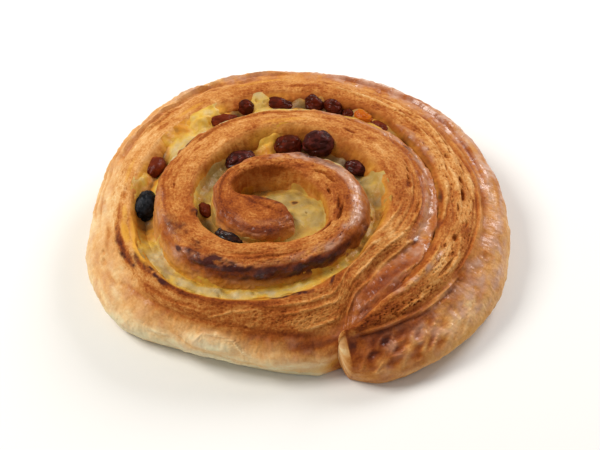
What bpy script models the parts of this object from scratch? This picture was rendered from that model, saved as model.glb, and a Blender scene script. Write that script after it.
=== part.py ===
"""A raisin swirl: a danish pastry rolled from one strip of laminated dough, with custard and raisins.

The roll lies on its flat base with the cut face up. Seen from above, the strip starts at its outer
end at the front right, winds inwards anticlockwise for about two and a half turns, and folds back on
itself as a tongue in the middle. Custard fills the groove between the turns, down to the base, and
raisins sit in the custard.

Sizes are in millimetres and become metres when a mesh is made. The origin is the centre of the base,
+Z is up and the front of the pastry faces -Y. A place along the strip is its turn angle, in degrees:
the compass angle around the eye of the swirl, counted on from turn to turn, so 0, 360 and 720 are all
on the +X side. The tables give (turn angle, value) pairs, joined by smooth curves.
"""

import bmesh
import bpy
import numpy as np
from mathutils import Euler, Vector

MM = 0.001
FULL_TURN = 360.0
CLEARANCE = 0.3  # between two solids that touch

# The strip of dough.
EYE = np.array([-5.4, -3.2])  # the middle of the swirl
OUTER_END = -68.0  # turn angle where the strip starts, at the front right
TONGUE_START = 650.0  # from here the inner side of the strip faces the heart of the swirl
TONGUE_TIP = 1003.0  # turn angle where the strip stops
HAIRPIN = 905.0  # turn angle where the strip folds back as the tongue
# Distance from the eye to the outer edge of the strip's cut face.
OUTER_EDGE = [
    (-90, 44.6), (-68, 47.6), (-45, 51.2), (0, 55.9), (45, 54.6), (90, 50.8), (135, 49.6), (180, 47.9),
    (225, 47.3), (270, 44.2), (290, 44.2), (301, 39.4), (315, 36.8), (337, 40.6), (360, 42.6),
    (405, 39.4), (450, 33.6), (495, 31.8), (540, 33.7), (585, 35.2), (630, 29.2), (675, 27.0),
    (720, 21.8), (765, 14.2), (810, 10.8), (855, 12.6), (900, 17.5), (945, 20.8), (985, 19.2),
    (1003, 15.6),
]
# Distance from the eye to the inner edge of the cut face, up to the heart of the swirl.
INNER_EDGE = [
    (-90, 45.0), (-68, 46.4), (-45, 45.2), (0, 45.1), (45, 44.2), (90, 42.4), (135, 41.0), (180, 41.4),
    (225, 42.4), (270, 36.0), (315, 31.4), (360, 30.0), (405, 26.4), (450, 24.4), (495, 21.4),
    (540, 23.4), (585, 25.4), (630, 21.2), (650, 20.6),
]
# In the heart, the inner edge as (turn angle, x, y) from the eye: round the middle, the hairpin, the tongue.
HEART_EDGE = [
    (650, 9.2, -18.4), (670, 12.4, -15.4), (690, 13.1, -11.0), (720, 11.8, -4.8), (750, 7.8, 0.5),
    (788, 2.0, 4.6), (826, -3.5, 5.4), (860, -8.4, 3.9), (886, -11.6, 1.4), (905, -12.8, -1.0),
    (922, -12.4, -3.0), (940, -10.4, -4.2), (960, -6.8, -5.1), (980, -2.5, -6.3), (995, 1.6, -8.8),
    (1003, 2.8, -11.2),
]

# Heights of the two edges of the cut face, above the base.
OUTER_EDGE_HEIGHT = [
    (-68, 14.4), (0, 16.8), (90, 19.5), (180, 17.5), (270, 14.0), (290, 14.2), (303, 19.5), (340, 20.6),
    (450, 22.5), (500, 24.3), (620, 25.0), (700, 26.2), (800, 27.4), (985, 27.2), (1003, 25.4),
]
INNER_EDGE_HEIGHT = [
    (-68, 15.2), (-52, 18.6), (-30, 20.2), (0, 21.0), (90, 21.6), (180, 21.0), (270, 20.6), (300, 22.2),
    (340, 24.0), (430, 25.5), (520, 26.4), (620, 26.2), (700, 27.2), (985, 27.4), (1003, 25.6),
]
CUT_FACE_RISE = 0.9  # how far the middle of the cut face swells above the line between its edges

# The skin round the outside of the roll: how far its foot, belly and shoulder stand out from the edge above.
FOOT_REACH = [
    (-68, 4.8), (-60, 8.4), (-41, 8.6), (-25, 9.0), (0, 7.4), (25, 6.4), (45, 5.4), (90, 4.0),
    (180, 4.6), (205, 6.0), (220, 4.4), (230, 1.4), (242, -0.8), (252, -0.4), (262, 0.9), (276, 3.0),
    (286, 4.4), (292, 4.4),
]
BELLY_REACH = [
    (-68, 5.6), (-60, 9.4), (-40, 10.8), (-25, 10.8), (0, 9.2), (25, 8.8), (45, 8.0), (90, 5.6),
    (135, 4.8), (170, 5.0), (180, 5.9), (195, 8.0), (208, 7.8), (220, 6.2), (232, 3.2), (245, 2.2),
    (260, 3.0), (276, 4.2), (292, 4.4),
]
SHOULDER_REACH = [
    (-68, 3.0), (-50, 4.6), (-20, 6.0), (0, 6.4), (25, 6.6), (45, 6.2), (75, 5.2), (100, 4.3),
    (135, 3.5), (160, 2.6), (195, 3.6), (215, 3.6), (240, 2.0), (270, 2.2), (292, 2.6),
]
SHOULDER_HEIGHT = [  # as a share of the edge's height
    (-68, 0.72), (-30, 0.76), (0, 0.84), (30, 0.92), (45, 0.95), (90, 0.95), (135, 0.93), (180, 0.88),
    (225, 0.76), (292, 0.72),
]
BELLY_HEIGHT = 0.36  # likewise
SIDE_SWELL = 0.5  # how far the side bulges between belly and shoulder
FOOT_ROUNDING = 1.2
SKIN_ENDS = (282.0, 292.0)  # turn angles between which the outside skin tucks under the next turn

# The groove between a turn and the one inside it, by the turn angle of the outer one.
GROOVE_FLOOR = [  # height at which the walls stop leaning: the top of the custard, where there is some
    (-68, 11.4), (-48, 17.4), (-20, 18.8), (10, 18.4), (40, 19.0), (90, 20.0), (120, 19.4), (150, 18.4),
    (180, 17.6), (225, 18.0), (270, 19.0), (315, 20.4), (360, 20.4), (450, 20.6), (540, 21.0), (600, 22.0),
    (650, 23.0), (700, 23.6), (750, 22.4), (810, 21.0), (905, 20.4),
]
GROOVE_WIDTH = [  # between the upright walls below that height
    (-68, 0.6), (22, 0.6), (40, 2.0), (70, 4.2), (135, 4.6), (225, 4.6), (270, 4.2), (300, 2.4),
    (330, 2.4), (365, 4.6), (450, 6.4), (495, 5.0), (540, 3.8), (600, 3.0), (650, 2.4),
]
GROOVE_SHARE = [  # where the groove's middle lies: 0 at the inner turn's edge, 1 at the outer turn's
    (-68, 1.2), (-50, 1.05), (-40, 0.92), (-20, 0.8), (5, 0.5), (650, 0.5),
]
WALL_LEAN = 0.8  # how far the walls of the heart lean in

# Custard, from where the groove opens to the hairpin.
CUSTARD_START = 36.0
CUSTARD_BASE = 0.4  # its underside, just clear of what the pastry stands on
CUSTARD_MENISCUS = 1.1  # how far it climbs the dough on each side
TIP_GAP = 0.8  # between the tongue's end and the custard that runs round it

# Raisins: (name, turn angle, distance from the eye, height, length, width, depth, heading from +X).
RAISINS = [
    ("raisin_black_left", 179.6, 37.6, 18.8, 9.4, 7.0, 7.4, 80),
    ("raisin_far_left", 158.0, 38.6, 19.2, 7.6, 4.8, 5.4, 68),
    ("raisin_long", 117.4, 37.9, 19.8, 9.0, 4.4, 4.2, 14),
    ("raisin_upright", 105.0, 39.4, 20.8, 4.4, 3.8, 6.0, 20),
    ("raisin_rear", 92.0, 39.6, 20.4, 8.4, 4.8, 5.0, 4),
    ("raisin_rear_right", 76.6, 41.0, 20.8, 4.6, 4.8, 6.0, 160),
    ("raisin_rear_pair", 68.4, 41.4, 20.4, 4.6, 4.4, 6.2, 120),
    ("raisin_dark_chip", 61.4, 41.6, 19.6, 3.6, 3.8, 4.2, 60),
    ("raisin_amber", 54.6, 42.2, 20.2, 4.8, 3.8, 4.4, 140),
    ("raisin_red", 46.6, 42.2, 20.0, 6.6, 3.2, 3.8, 136),
    ("raisin_twin_dark", 83.0, 19.6, 23.2, 7.2, 6.4, 7.0, 10),
    ("raisin_twin_big", 60.0, 21.8, 24.6, 9.2, 7.2, 7.8, 20),
    ("raisin_purple", 129.2, 18.4, 23.2, 9.0, 5.2, 6.0, 28),
    ("raisin_hidden_right", 29.0, 24.8, 21.8, 6.2, 4.2, 4.4, 130),
    ("raisin_left_sliver", 193.4, 21.4, 22.6, 5.2, 3.4, 4.0, 120),
    ("raisin_front_left", 230.6, 21.4, 23.4, 8.4, 4.6, 5.4, 150),
]

# How finely the solids are cut into faces.
DOUGH_SECTIONS = 150
CUSTARD_SECTIONS = 84
HEART_SECTIONS = 15
RAISIN_SEGMENTS = 12
RAISIN_RINGS = 7
WRINKLE = 0.06  # how deep a raisin's folds are, as a share of its size

# Looks of the plain solids: (colour, roughness).
DOUGH_LOOK = ((0.62, 0.31, 0.11), 0.55)
CUSTARD_LOOK = ((0.72, 0.58, 0.22), 0.4)
RAISIN_LOOK = ((0.09, 0.03, 0.02), 0.3)


def smooth(at, table, column=1):
    """The table's value at each angle: a cubic through its points. Its slope at a point is set by the
    neighbours, and is never so steep that the curve overshoots them."""
    rows = np.array(table, float)
    x, y = rows[:, 0], rows[:, column]
    chords = np.abs(np.diff(y) / np.diff(x))
    steepest = 3 * np.minimum(np.append(chords, chords[-1]), np.append(chords[0], chords))
    slope = np.clip(np.gradient(y, x), -steepest, steepest)
    at = np.clip(np.asarray(at, float), x[0], x[-1])
    i = np.clip(np.searchsorted(x, at) - 1, 0, len(x) - 2)
    step = x[i + 1] - x[i]
    t = (at - x[i]) / step
    rise = t * t * (3 - 2 * t)
    start = t * (1 - t) ** 2 * slope[i] * step
    end = t * t * (1 - t) * slope[i + 1] * step
    return y[i] + (y[i + 1] - y[i]) * rise + start - end


def eased(value, start, end):
    """0 before start and 1 after end, with a smooth rise in between."""
    t = np.clip((value - start) / (end - start), 0, 1)
    return t * t * (3 - 2 * t)


def around_eye(angle, distance):
    """Plan points at those compass angles and distances from the eye."""
    turned = np.radians(angle)
    return EYE + np.stack([np.cos(turned), np.sin(turned)], -1) * np.asarray(distance)[..., None]


def outer_edge(angle):
    return around_eye(angle, smooth(angle, OUTER_EDGE))


def inner_edge(angle):
    """The inner edge in plan: a spiral round the eye, and then the outline of the heart."""
    angle = np.asarray(angle, float)
    spiral = around_eye(angle, smooth(angle, INNER_EDGE))
    heart = EYE + np.stack([smooth(angle, HEART_EDGE, 1), smooth(angle, HEART_EDGE, 2)], -1)
    return np.where((angle > TONGUE_START)[..., None], heart, spiral)


def across_strip(angle):
    """The direction in plan across the strip, from its inner edge to its outer edge."""
    across = outer_edge(angle) - inner_edge(angle)
    return across / np.linalg.norm(across, axis=-1, keepdims=True)


def groove_wall(angle, side):
    """Distance from the eye to an upright wall of the groove inside the turn at that angle: side is 1 for
    the outer turn's wall and -1 for the inner turn's."""
    inner = smooth(angle + FULL_TURN, OUTER_EDGE)
    outer = smooth(angle, INNER_EDGE)
    middle = inner + (outer - inner) * smooth(angle, GROOVE_SHARE)
    return middle + side * smooth(angle, GROOVE_WIDTH) / 2


def inner_wall_lean(angle):
    """How far the strip's upright inner wall stands in from the edge above it."""
    in_heart = eased(angle, TONGUE_START - 30, TONGUE_START + 10)
    on_spiral = smooth(angle, INNER_EDGE) - groove_wall(angle, 1)
    return on_spiral * (1 - in_heart) + WALL_LEAN * in_heart


def outer_wall_reach(angle):
    """How far an inner turn's upright outer wall stands out from the edge above it."""
    return groove_wall(angle - FULL_TURN, -1) - smooth(angle, OUTER_EDGE)


def inner_wall(angle):
    return inner_edge(angle) - across_strip(angle) * inner_wall_lean(angle)[:, None]


def outer_wall(angle):
    return outer_edge(angle) + across_strip(angle) * outer_wall_reach(angle)[:, None]


def outside_skin(angle):
    """The skin round the outside, base first: (how far it stands out from the edge, height) in five places."""
    edge = smooth(angle, OUTER_EDGE_HEIGHT)
    foot, belly = smooth(angle, FOOT_REACH), smooth(angle, BELLY_REACH)
    shoulder, shoulder_height = smooth(angle, SHOULDER_REACH), edge * smooth(angle, SHOULDER_HEIGHT)
    between = belly * 0.62 + shoulder * 0.38
    return [
        (foot - FOOT_ROUNDING, 0 * edge),
        (foot, 0 * edge + FOOT_ROUNDING),
        (belly, edge * BELLY_HEIGHT),
        (between + SIDE_SWELL, (edge * BELLY_HEIGHT + shoulder_height) / 2),
        (shoulder, shoulder_height),
    ]


def inside_skin(angle):
    """The outer wall of an inner turn, told as outside_skin is: upright, then leaning to the edge above."""
    edge = smooth(angle, OUTER_EDGE_HEIGHT)
    floor = smooth(angle - FULL_TURN, GROOVE_FLOOR)
    reach = outer_wall_reach(angle)
    return [
        (reach, 0 * edge),
        (reach, floor * 0.4),
        (reach, floor * 0.75),
        (reach, floor),
        (reach * 0.45, floor + (edge - floor) * 0.65),
    ]


def dough_profile(angle):
    """The strip's section at each angle, as a list of (points in plan, heights), round from the base of the
    inner wall under the strip, up its outer wall, over the cut face and down the inner wall."""
    outer, inner = outer_edge(angle), inner_edge(angle)
    across = across_strip(angle)
    outer_height, inner_height = smooth(angle, OUTER_EDGE_HEIGHT), smooth(angle, INNER_EDGE_HEIGHT)
    floor = smooth(angle, GROOVE_FLOOR)
    wall = inner_wall(angle)

    profile = [(wall, 0 * floor)]
    tucked = eased(angle, *SKIN_ENDS)
    for (skin_reach, skin_height), (reach, height) in zip(outside_skin(angle), inside_skin(angle)):
        reach = skin_reach + (reach - skin_reach) * tucked
        height = skin_height + (height - skin_height) * tucked
        profile.append((outer + across * reach[:, None], height))
    profile.append((outer, outer_height - 0.35))
    for share in (0.86, 0.5, 0.14):
        swell = CUT_FACE_RISE * 4 * share * (1 - share)
        height = inner_height + (outer_height - inner_height) * share + swell
        profile.append((inner + (outer - inner) * share, height))
    profile.append((inner, inner_height - 0.35))
    profile.append((inner + (wall - inner) * 0.6, floor + (inner_height - floor) * 0.45))
    profile.append((wall, floor))
    return profile


def lofted(name, profile, look):
    """A closed solid whose sections are the profile's points, capped at its two ends."""
    points = np.stack([np.column_stack([plan, height]) for plan, height in profile], 1)
    sections, around = points.shape[:2]
    mesh = bmesh.new()
    rings = [[mesh.verts.new(point * MM) for point in section] for section in points]
    for one, other in zip(rings, rings[1:]):
        for k in range(around):
            after = (k + 1) % around
            mesh.faces.new((one[k], one[after], other[after], other[k]))
    mesh.faces.new(rings[0][::-1])
    mesh.faces.new(rings[-1])
    bmesh.ops.recalc_face_normals(mesh, faces=mesh.faces)
    bmesh.ops.triangulate(mesh, faces=mesh.faces)
    return new_object(name, mesh, look)


def new_object(name, mesh, look):
    data = bpy.data.meshes.new(name)
    mesh.to_mesh(data)
    mesh.free()
    if look:
        data.materials.append(look)
    return bpy.data.objects.new(name, data)


def make_dough(look):
    """The strip. Its sections stand a little closer together on the long outer turn."""
    spread = np.linspace(0, 1, DOUGH_SECTIONS)
    angle = OUTER_END + (TONGUE_TIP - OUTER_END) * spread ** 1.1
    return lofted("dough", dough_profile(angle), look)


def custard_profile(outer, inner, floor):
    """The custard between two walls in plan, from its base up one wall, over its top and down the other."""
    across = outer - inner
    width = np.linalg.norm(across, axis=-1, keepdims=True)
    step = across / width
    outer, inner = outer - step * CLEARANCE, inner + step * CLEARANCE
    climb = CUSTARD_MENISCUS * np.clip(width[:, 0] / 4, 0.2, 1)
    base = np.full(len(floor), CUSTARD_BASE)
    top = [(0.0, climb), (0.22, climb * 0.3), (0.5, 0 * climb), (0.78, climb * 0.3), (1.0, climb)]
    return [(inner, base), (outer, base)] + [
        (outer + (inner - outer) * share, floor - CLEARANCE + rise - CUSTARD_MENISCUS) for share, rise in top
    ]


def past_the_tip():
    """A step in plan past the tongue's end, the way the tongue points."""
    ends = np.array([TONGUE_TIP - 5, TONGUE_TIP])
    before, tip = (outer_edge(ends) + inner_edge(ends)) / 2
    return (tip - before) / np.linalg.norm(tip - before) * TIP_GAP


def make_custard(look):
    """Custard in the groove from where it opens to the heart, round the tongue's tip and to the hairpin."""
    groove = np.linspace(CUSTARD_START, TONGUE_START - 14, CUSTARD_SECTIONS)
    corner = np.array([TONGUE_START - 4])
    # In the heart, the far side runs on along the inner edge and the near side back along the tongue.
    heart = np.linspace(TONGUE_START + 6, HAIRPIN - 22, HEART_SECTIONS)
    tongue = TONGUE_TIP - (TONGUE_TIP - HAIRPIN - 10) * eased(heart, TONGUE_START + 20, HAIRPIN) ** 0.8
    near_tip = 1 - eased(TONGUE_TIP - tongue, 0, 12)
    angle = np.concatenate([groove, corner, heart])
    outer = inner_wall(angle)
    inner = np.concatenate([
        outer_wall(groove + FULL_TURN),
        outer_wall(np.array([TONGUE_TIP])) + past_the_tip(),
        inner_wall(tongue) + near_tip[:, None] * past_the_tip(),
    ])
    return lofted("custard", custard_profile(outer, inner, smooth(angle, GROOVE_FLOOR)), look)


def raisin_mesh(size, place, heading, seed, swell=0.0):
    """A shrivelled ball of that size: a sphere whose radius is folded by two waves, made swell larger all
    round, turned to its heading and set in its place."""
    mesh = bmesh.new()
    bmesh.ops.create_uvsphere(mesh, u_segments=RAISIN_SEGMENTS, v_segments=RAISIN_RINGS, radius=0.5)
    turn = Euler((0, 0, np.radians(heading))).to_matrix()
    for vert in mesh.verts:
        x, y, z = vert.co * 2
        fold = np.sin(3 * x + 2 * y + seed) * np.cos(4 * y - 2 * z + 1.7 * seed)
        ball = vert.co * (1 + WRINKLE * fold)
        shaped = Vector([ball[i] * (size[i] + 2 * swell) for i in range(3)])
        vert.co = (turn @ shaped + Vector(place)) * MM
    return mesh


def make_raisins(look):
    """The raisins, and one cutter that presses their hollows, a little larger, into dough and custard."""
    raisins = []
    hollows = bmesh.new()
    for seed, (name, angle, distance, height, length, width, depth, heading) in enumerate(RAISINS):
        place = [*around_eye(np.array(angle), np.array(distance)), height]
        size = (length, width, depth)
        raisins.append(new_object(name, raisin_mesh(size, place, heading, seed), look))
        hollow = raisin_mesh(size, place, heading, seed, swell=CLEARANCE)
        scrap = bpy.data.meshes.new("hollow")
        hollow.to_mesh(scrap)
        hollow.free()
        hollows.from_mesh(scrap)
        bpy.data.meshes.remove(scrap)
    cutter = new_object("raisin_hollows", hollows, None)
    cutter.hide_render = True
    cutter.display_type = "WIRE"
    return raisins, cutter


def press_hollows(solid, cutter):
    cut = solid.modifiers.new("hollows", "BOOLEAN")
    cut.operation = "DIFFERENCE"
    cut.object = cutter


def material(name, look):
    made = bpy.data.materials.new(name)
    made.use_nodes = True
    shader = made.node_tree.nodes["Principled BSDF"]
    shader.inputs["Base Color"].default_value = (*look[0], 1)
    shader.inputs["Roughness"].default_value = look[1]
    return made


def in_collection(name, objects):
    collection = bpy.data.collections.new(name)
    bpy.context.scene.collection.children.link(collection)
    for item in objects:
        collection.objects.link(item)


def main():
    for old in list(bpy.data.objects):
        bpy.data.objects.remove(old)
    dough = make_dough(material("baked_dough", DOUGH_LOOK))
    custard = make_custard(material("custard", CUSTARD_LOOK))
    raisins, cutter = make_raisins(material("raisin_skin", RAISIN_LOOK))
    press_hollows(dough, cutter)
    press_hollows(custard, cutter)
    in_collection("raisin_swirl", [dough, custard, *raisins])
    in_collection("cutters", [cutter])


main()
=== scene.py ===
"""Looks of a raisin swirl: a danish pastry rolled from one strip of laminated dough.

Sizes are in millimetres and become metres when a mesh is made. +Z is up and the front of the pastry
faces -Y. A place along the strip is its turn angle: the compass angle round the eye of the swirl,
counted on from turn to turn. A place across the strip is the distance along its surface from the
outer edge of the cut face: above 0 over the cut face and down the inner wall, below 0 down the skin.
"""

import bpy
import numpy as np
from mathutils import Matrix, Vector


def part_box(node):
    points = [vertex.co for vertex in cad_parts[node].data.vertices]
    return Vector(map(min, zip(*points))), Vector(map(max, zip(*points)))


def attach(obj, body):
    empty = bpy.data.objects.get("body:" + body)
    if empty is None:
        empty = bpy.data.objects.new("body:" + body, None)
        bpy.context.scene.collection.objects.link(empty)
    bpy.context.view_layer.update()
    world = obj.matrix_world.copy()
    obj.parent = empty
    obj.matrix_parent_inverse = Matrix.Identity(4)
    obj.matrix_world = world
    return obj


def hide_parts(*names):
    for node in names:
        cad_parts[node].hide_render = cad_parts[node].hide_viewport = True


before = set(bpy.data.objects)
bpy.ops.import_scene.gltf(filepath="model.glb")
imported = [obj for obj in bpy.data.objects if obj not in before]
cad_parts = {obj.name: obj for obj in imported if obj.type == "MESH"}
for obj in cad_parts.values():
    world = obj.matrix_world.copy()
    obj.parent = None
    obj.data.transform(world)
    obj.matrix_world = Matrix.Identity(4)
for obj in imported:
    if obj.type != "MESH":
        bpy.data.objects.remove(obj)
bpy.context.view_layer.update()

# ---------------------------------------------------------------------------------------------------
# The strip of dough. One long strip of butter-laminated dough, spread with custard, rolled up, laid
# on its side and baked. The cut face shows the layers as fine lines, and the skin is brushed with egg.
# ---------------------------------------------------------------------------------------------------

MM = 0.001
FULL_TURN = 360.0
EYE = np.array([-5.4, -3.2])  # the middle of the swirl
OUTER_END = -68.0  # turn angle where the strip starts, at the front right
TONGUE_START = 650.0  # from here the inner side of the strip faces the heart of the swirl
TONGUE_TIP = 1003.0  # turn angle where the strip stops
OUTER_EDGE = [  # distance from the eye to the outer edge of the cut face
    (-90, 44.6), (-68, 47.6), (-45, 51.2), (0, 55.9), (45, 54.6), (90, 50.8), (135, 49.6), (180, 47.9),
    (225, 47.3), (270, 44.2), (290, 44.2), (301, 39.4), (315, 36.8), (337, 40.6), (360, 42.6),
    (405, 39.4), (450, 33.6), (495, 31.8), (540, 33.7), (585, 35.2), (630, 29.2), (675, 27.0),
    (720, 21.8), (765, 14.2), (810, 10.8), (855, 12.6), (900, 17.5), (945, 20.8), (985, 19.2),
    (1003, 15.6),
]
INNER_EDGE = [  # and to its inner edge, up to the heart of the swirl
    (-90, 45.0), (-68, 46.4), (-45, 45.2), (0, 45.1), (45, 44.2), (90, 42.4), (135, 41.0), (180, 41.4),
    (225, 42.4), (270, 36.0), (315, 31.4), (360, 30.0), (405, 26.4), (450, 24.4), (495, 21.4),
    (540, 23.4), (585, 25.4), (630, 21.2), (650, 20.6),
]
HEART_EDGE = [  # in the heart, the inner edge as (turn angle, x, y) from the eye
    (650, 9.2, -18.4), (670, 12.4, -15.4), (690, 13.1, -11.0), (720, 11.8, -4.8), (750, 7.8, 0.5),
    (788, 2.0, 4.6), (826, -3.5, 5.4), (860, -8.4, 3.9), (886, -11.6, 1.4), (905, -12.8, -1.0),
    (922, -12.4, -3.0), (940, -10.4, -4.2), (960, -6.8, -5.1), (980, -2.5, -6.3), (995, 1.6, -8.8),
    (1003, 2.8, -11.2),
]
OUTER_EDGE_HEIGHT = [
    (-68, 14.4), (0, 16.8), (90, 19.5), (180, 17.5), (270, 14.0), (290, 14.2), (303, 19.5), (340, 20.6),
    (450, 22.5), (500, 24.3), (620, 25.0), (700, 26.2), (800, 27.4), (985, 27.2), (1003, 25.4),
]
INNER_EDGE_HEIGHT = [
    (-68, 15.2), (-52, 18.6), (-30, 20.2), (0, 21.0), (90, 21.6), (180, 21.0), (270, 20.6), (300, 22.2),
    (340, 24.0), (430, 25.5), (520, 26.4), (620, 26.2), (700, 27.2), (985, 27.4), (1003, 25.6),
]
CUT_FACE_RISE = 0.9
# How far the foot, belly and shoulder of the skin stand out from the edge above them.
FOOT_REACH = [
    (-68, 4.8), (-60, 8.4), (-41, 8.6), (-25, 9.0), (0, 7.4), (25, 6.4), (45, 5.4), (90, 4.0),
    (180, 4.6), (205, 6.0), (220, 4.4), (230, 1.4), (242, -0.8), (252, -0.4), (262, 0.9), (276, 3.0),
    (286, 4.4), (292, 4.4),
]
BELLY_REACH = [
    (-68, 5.6), (-60, 9.4), (-40, 10.8), (-25, 10.8), (0, 9.2), (25, 8.8), (45, 8.0), (90, 5.6),
    (135, 4.8), (170, 5.0), (180, 5.9), (195, 8.0), (208, 7.8), (220, 6.2), (232, 3.2), (245, 2.2),
    (260, 3.0), (276, 4.2), (292, 4.4),
]
SHOULDER_REACH = [
    (-68, 3.0), (-50, 4.6), (-20, 6.0), (0, 6.4), (25, 6.6), (45, 6.2), (75, 5.2), (100, 4.3),
    (135, 3.5), (160, 2.6), (195, 3.6), (215, 3.6), (240, 2.0), (270, 2.2), (292, 2.6),
]
SHOULDER_HEIGHT = [  # as a share of the edge's height
    (-68, 0.72), (-30, 0.76), (0, 0.84), (30, 0.92), (45, 0.95), (90, 0.95), (135, 0.93), (180, 0.88),
    (225, 0.76), (292, 0.72),
]
BELLY_HEIGHT = 0.36
SIDE_SWELL = 0.5
FOOT_ROUNDING = 1.2
SKIN_ENDS = (282.0, 292.0)  # turn angles between which the outside skin tucks under the next turn
GROOVE_FLOOR = [  # height of the custard between a turn and the one inside it
    (-68, 12.4), (-60, 16.0), (-48, 18.3), (-32, 19.6), (-20, 20.0), (10, 20.3), (40, 19.6), (90, 20.0), (120, 19.4), (150, 18.4),
    (180, 17.6), (225, 18.0), (270, 19.0), (315, 20.4), (360, 20.4), (450, 20.6), (540, 21.0), (600, 22.0),
    (650, 23.0), (700, 23.6), (750, 22.4), (810, 21.0), (905, 20.4),
]
GROOVE_WIDTH = [
    (-68, -0.3), (22, -0.3), (40, 2.0), (70, 4.2), (135, 4.6), (225, 4.6), (270, 4.2), (300, 2.4),
    (330, 2.4), (365, 4.6), (450, 6.4), (495, 5.0), (540, 3.8), (600, 3.0), (650, 2.4),
]
GROOVE_SHARE = [(-68, 1.2), (-50, 1.05), (-40, 0.92), (-20, 0.8), (5, 0.5), (650, 0.5)]
WALL_LEAN = 0.8


def smooth(at, table, column=1):
    """The table's value at each angle: a cubic through its points, too gentle to overshoot them."""
    rows = np.array(table, float)
    x, y = rows[:, 0], rows[:, column]
    chords = np.abs(np.diff(y) / np.diff(x))
    steepest = 3 * np.minimum(np.append(chords, chords[-1]), np.append(chords[0], chords))
    slope = np.clip(np.gradient(y, x), -steepest, steepest)
    at = np.clip(np.asarray(at, float), x[0], x[-1])
    i = np.clip(np.searchsorted(x, at) - 1, 0, len(x) - 2)
    step = x[i + 1] - x[i]
    t = (at - x[i]) / step
    rise = t * t * (3 - 2 * t)
    start = t * (1 - t) ** 2 * slope[i] * step
    end = t * t * (1 - t) * slope[i + 1] * step
    return y[i] + (y[i + 1] - y[i]) * rise + start - end


def eased(value, start, end):
    """0 before start and 1 after end, with a smooth rise in between."""
    t = np.clip((value - start) / (end - start), 0, 1)
    return t * t * (3 - 2 * t)


def around_eye(angle, distance):
    """Plan points at those compass angles and distances from the eye."""
    turned = np.radians(angle)
    return EYE + np.stack([np.cos(turned), np.sin(turned)], -1) * np.asarray(distance)[..., None]


def outer_edge(angle):
    """The outer edge of the cut face in plan: a spiral round the eye."""
    return around_eye(angle, smooth(angle, OUTER_EDGE))


def inner_edge(angle):
    """The inner edge in plan: a spiral round the eye, and then the outline of the heart."""
    spiral = around_eye(angle, smooth(angle, INNER_EDGE))
    heart = EYE + np.stack([smooth(angle, HEART_EDGE, 1), smooth(angle, HEART_EDGE, 2)], -1)
    in_heart = eased(angle, TONGUE_START - 16, TONGUE_START + 2)[..., None]
    return spiral * (1 - in_heart) + heart * in_heart


def across_strip(angle):
    """The direction in plan from the strip's inner edge to its outer edge."""
    across = outer_edge(angle) - inner_edge(angle)
    return across / np.linalg.norm(across, axis=-1, keepdims=True)


def groove_wall(angle, side):
    """Distance from the eye to an upright wall of the groove: side 1 is the outer turn's, -1 the inner's."""
    inner = smooth(angle + FULL_TURN, OUTER_EDGE)
    outer = smooth(angle, INNER_EDGE)
    middle = inner + (outer - inner) * smooth(angle, GROOVE_SHARE)
    return middle + side * smooth(angle, GROOVE_WIDTH) / 2


def inner_wall(angle):
    """Where the strip's upright inner wall stands in plan: inwards of the edge above it."""
    in_heart = eased(angle, TONGUE_START - 30, TONGUE_START + 10)
    on_spiral = smooth(angle, INNER_EDGE) - groove_wall(angle, 1)
    lean = on_spiral * (1 - in_heart) + WALL_LEAN * in_heart
    return inner_edge(angle) - across_strip(angle) * lean[:, None]


def outer_wall_reach(angle):
    """How far an inner turn's upright outer wall stands out from the edge above it."""
    return groove_wall(angle - FULL_TURN, -1) - smooth(angle, OUTER_EDGE)


def outer_wall(angle):
    return outer_edge(angle) + across_strip(angle) * outer_wall_reach(angle)[:, None]


def strip_corners(angle):
    """The strip's section at each angle as thirteen corners: the base of the inner wall, the base of the
    outside, four places up it, the outer edge, three places over the cut face, the inner edge, and two
    places down the inner wall. On the outside turn the outside is a bellied skin, and on the inner turns
    it is a wall that leans back from the custard's level to the edge."""
    outer, inner, across, wall = outer_edge(angle), inner_edge(angle), across_strip(angle), inner_wall(angle)
    high, low = smooth(angle, OUTER_EDGE_HEIGHT), smooth(angle, INNER_EDGE_HEIGHT)
    belly, shoulder = smooth(angle, BELLY_REACH), smooth(angle, SHOULDER_REACH)
    foot, shoulder_height = smooth(angle, FOOT_REACH), high * smooth(angle, SHOULDER_HEIGHT)
    skin = [
        (foot - FOOT_ROUNDING, 0 * high),
        (foot, 0 * high + FOOT_ROUNDING),
        (belly, high * BELLY_HEIGHT),
        (belly * 0.62 + shoulder * 0.38 + SIDE_SWELL, (high * BELLY_HEIGHT + shoulder_height) / 2),
        (shoulder, shoulder_height),
    ]
    custard_level, reach = smooth(angle - FULL_TURN, GROOVE_FLOOR), outer_wall_reach(angle)
    hidden = [
        (reach, 0 * high),
        (reach, custard_level * 0.4),
        (reach, custard_level * 0.75),
        (reach, custard_level),
        (reach * 0.45, custard_level + (high - custard_level) * 0.65),
    ]
    tucked = eased(angle, *SKIN_ENDS)
    floor = smooth(angle, GROOVE_FLOOR)
    corners = [(wall, 0 * floor)]
    for (skin_reach, skin_height), (reach, height) in zip(skin, hidden):
        out = skin_reach + (reach - skin_reach) * tucked
        corners.append((outer + across * out[:, None], skin_height + (height - skin_height) * tucked))
    corners.append((outer, high - 0.35))
    for share in (0.86, 0.5, 0.14):
        swell = CUT_FACE_RISE * 4 * share * (1 - share)
        corners.append((inner + (outer - inner) * share, low + (high - low) * share + swell))
    corners.append((inner, low - 0.35))
    corners.append((inner + (wall - inner) * 0.6, floor + (low - floor) * 0.45))
    corners.append((wall, floor))
    return np.stack([np.column_stack([plan, height]) for plan, height in corners], 1)


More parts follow.
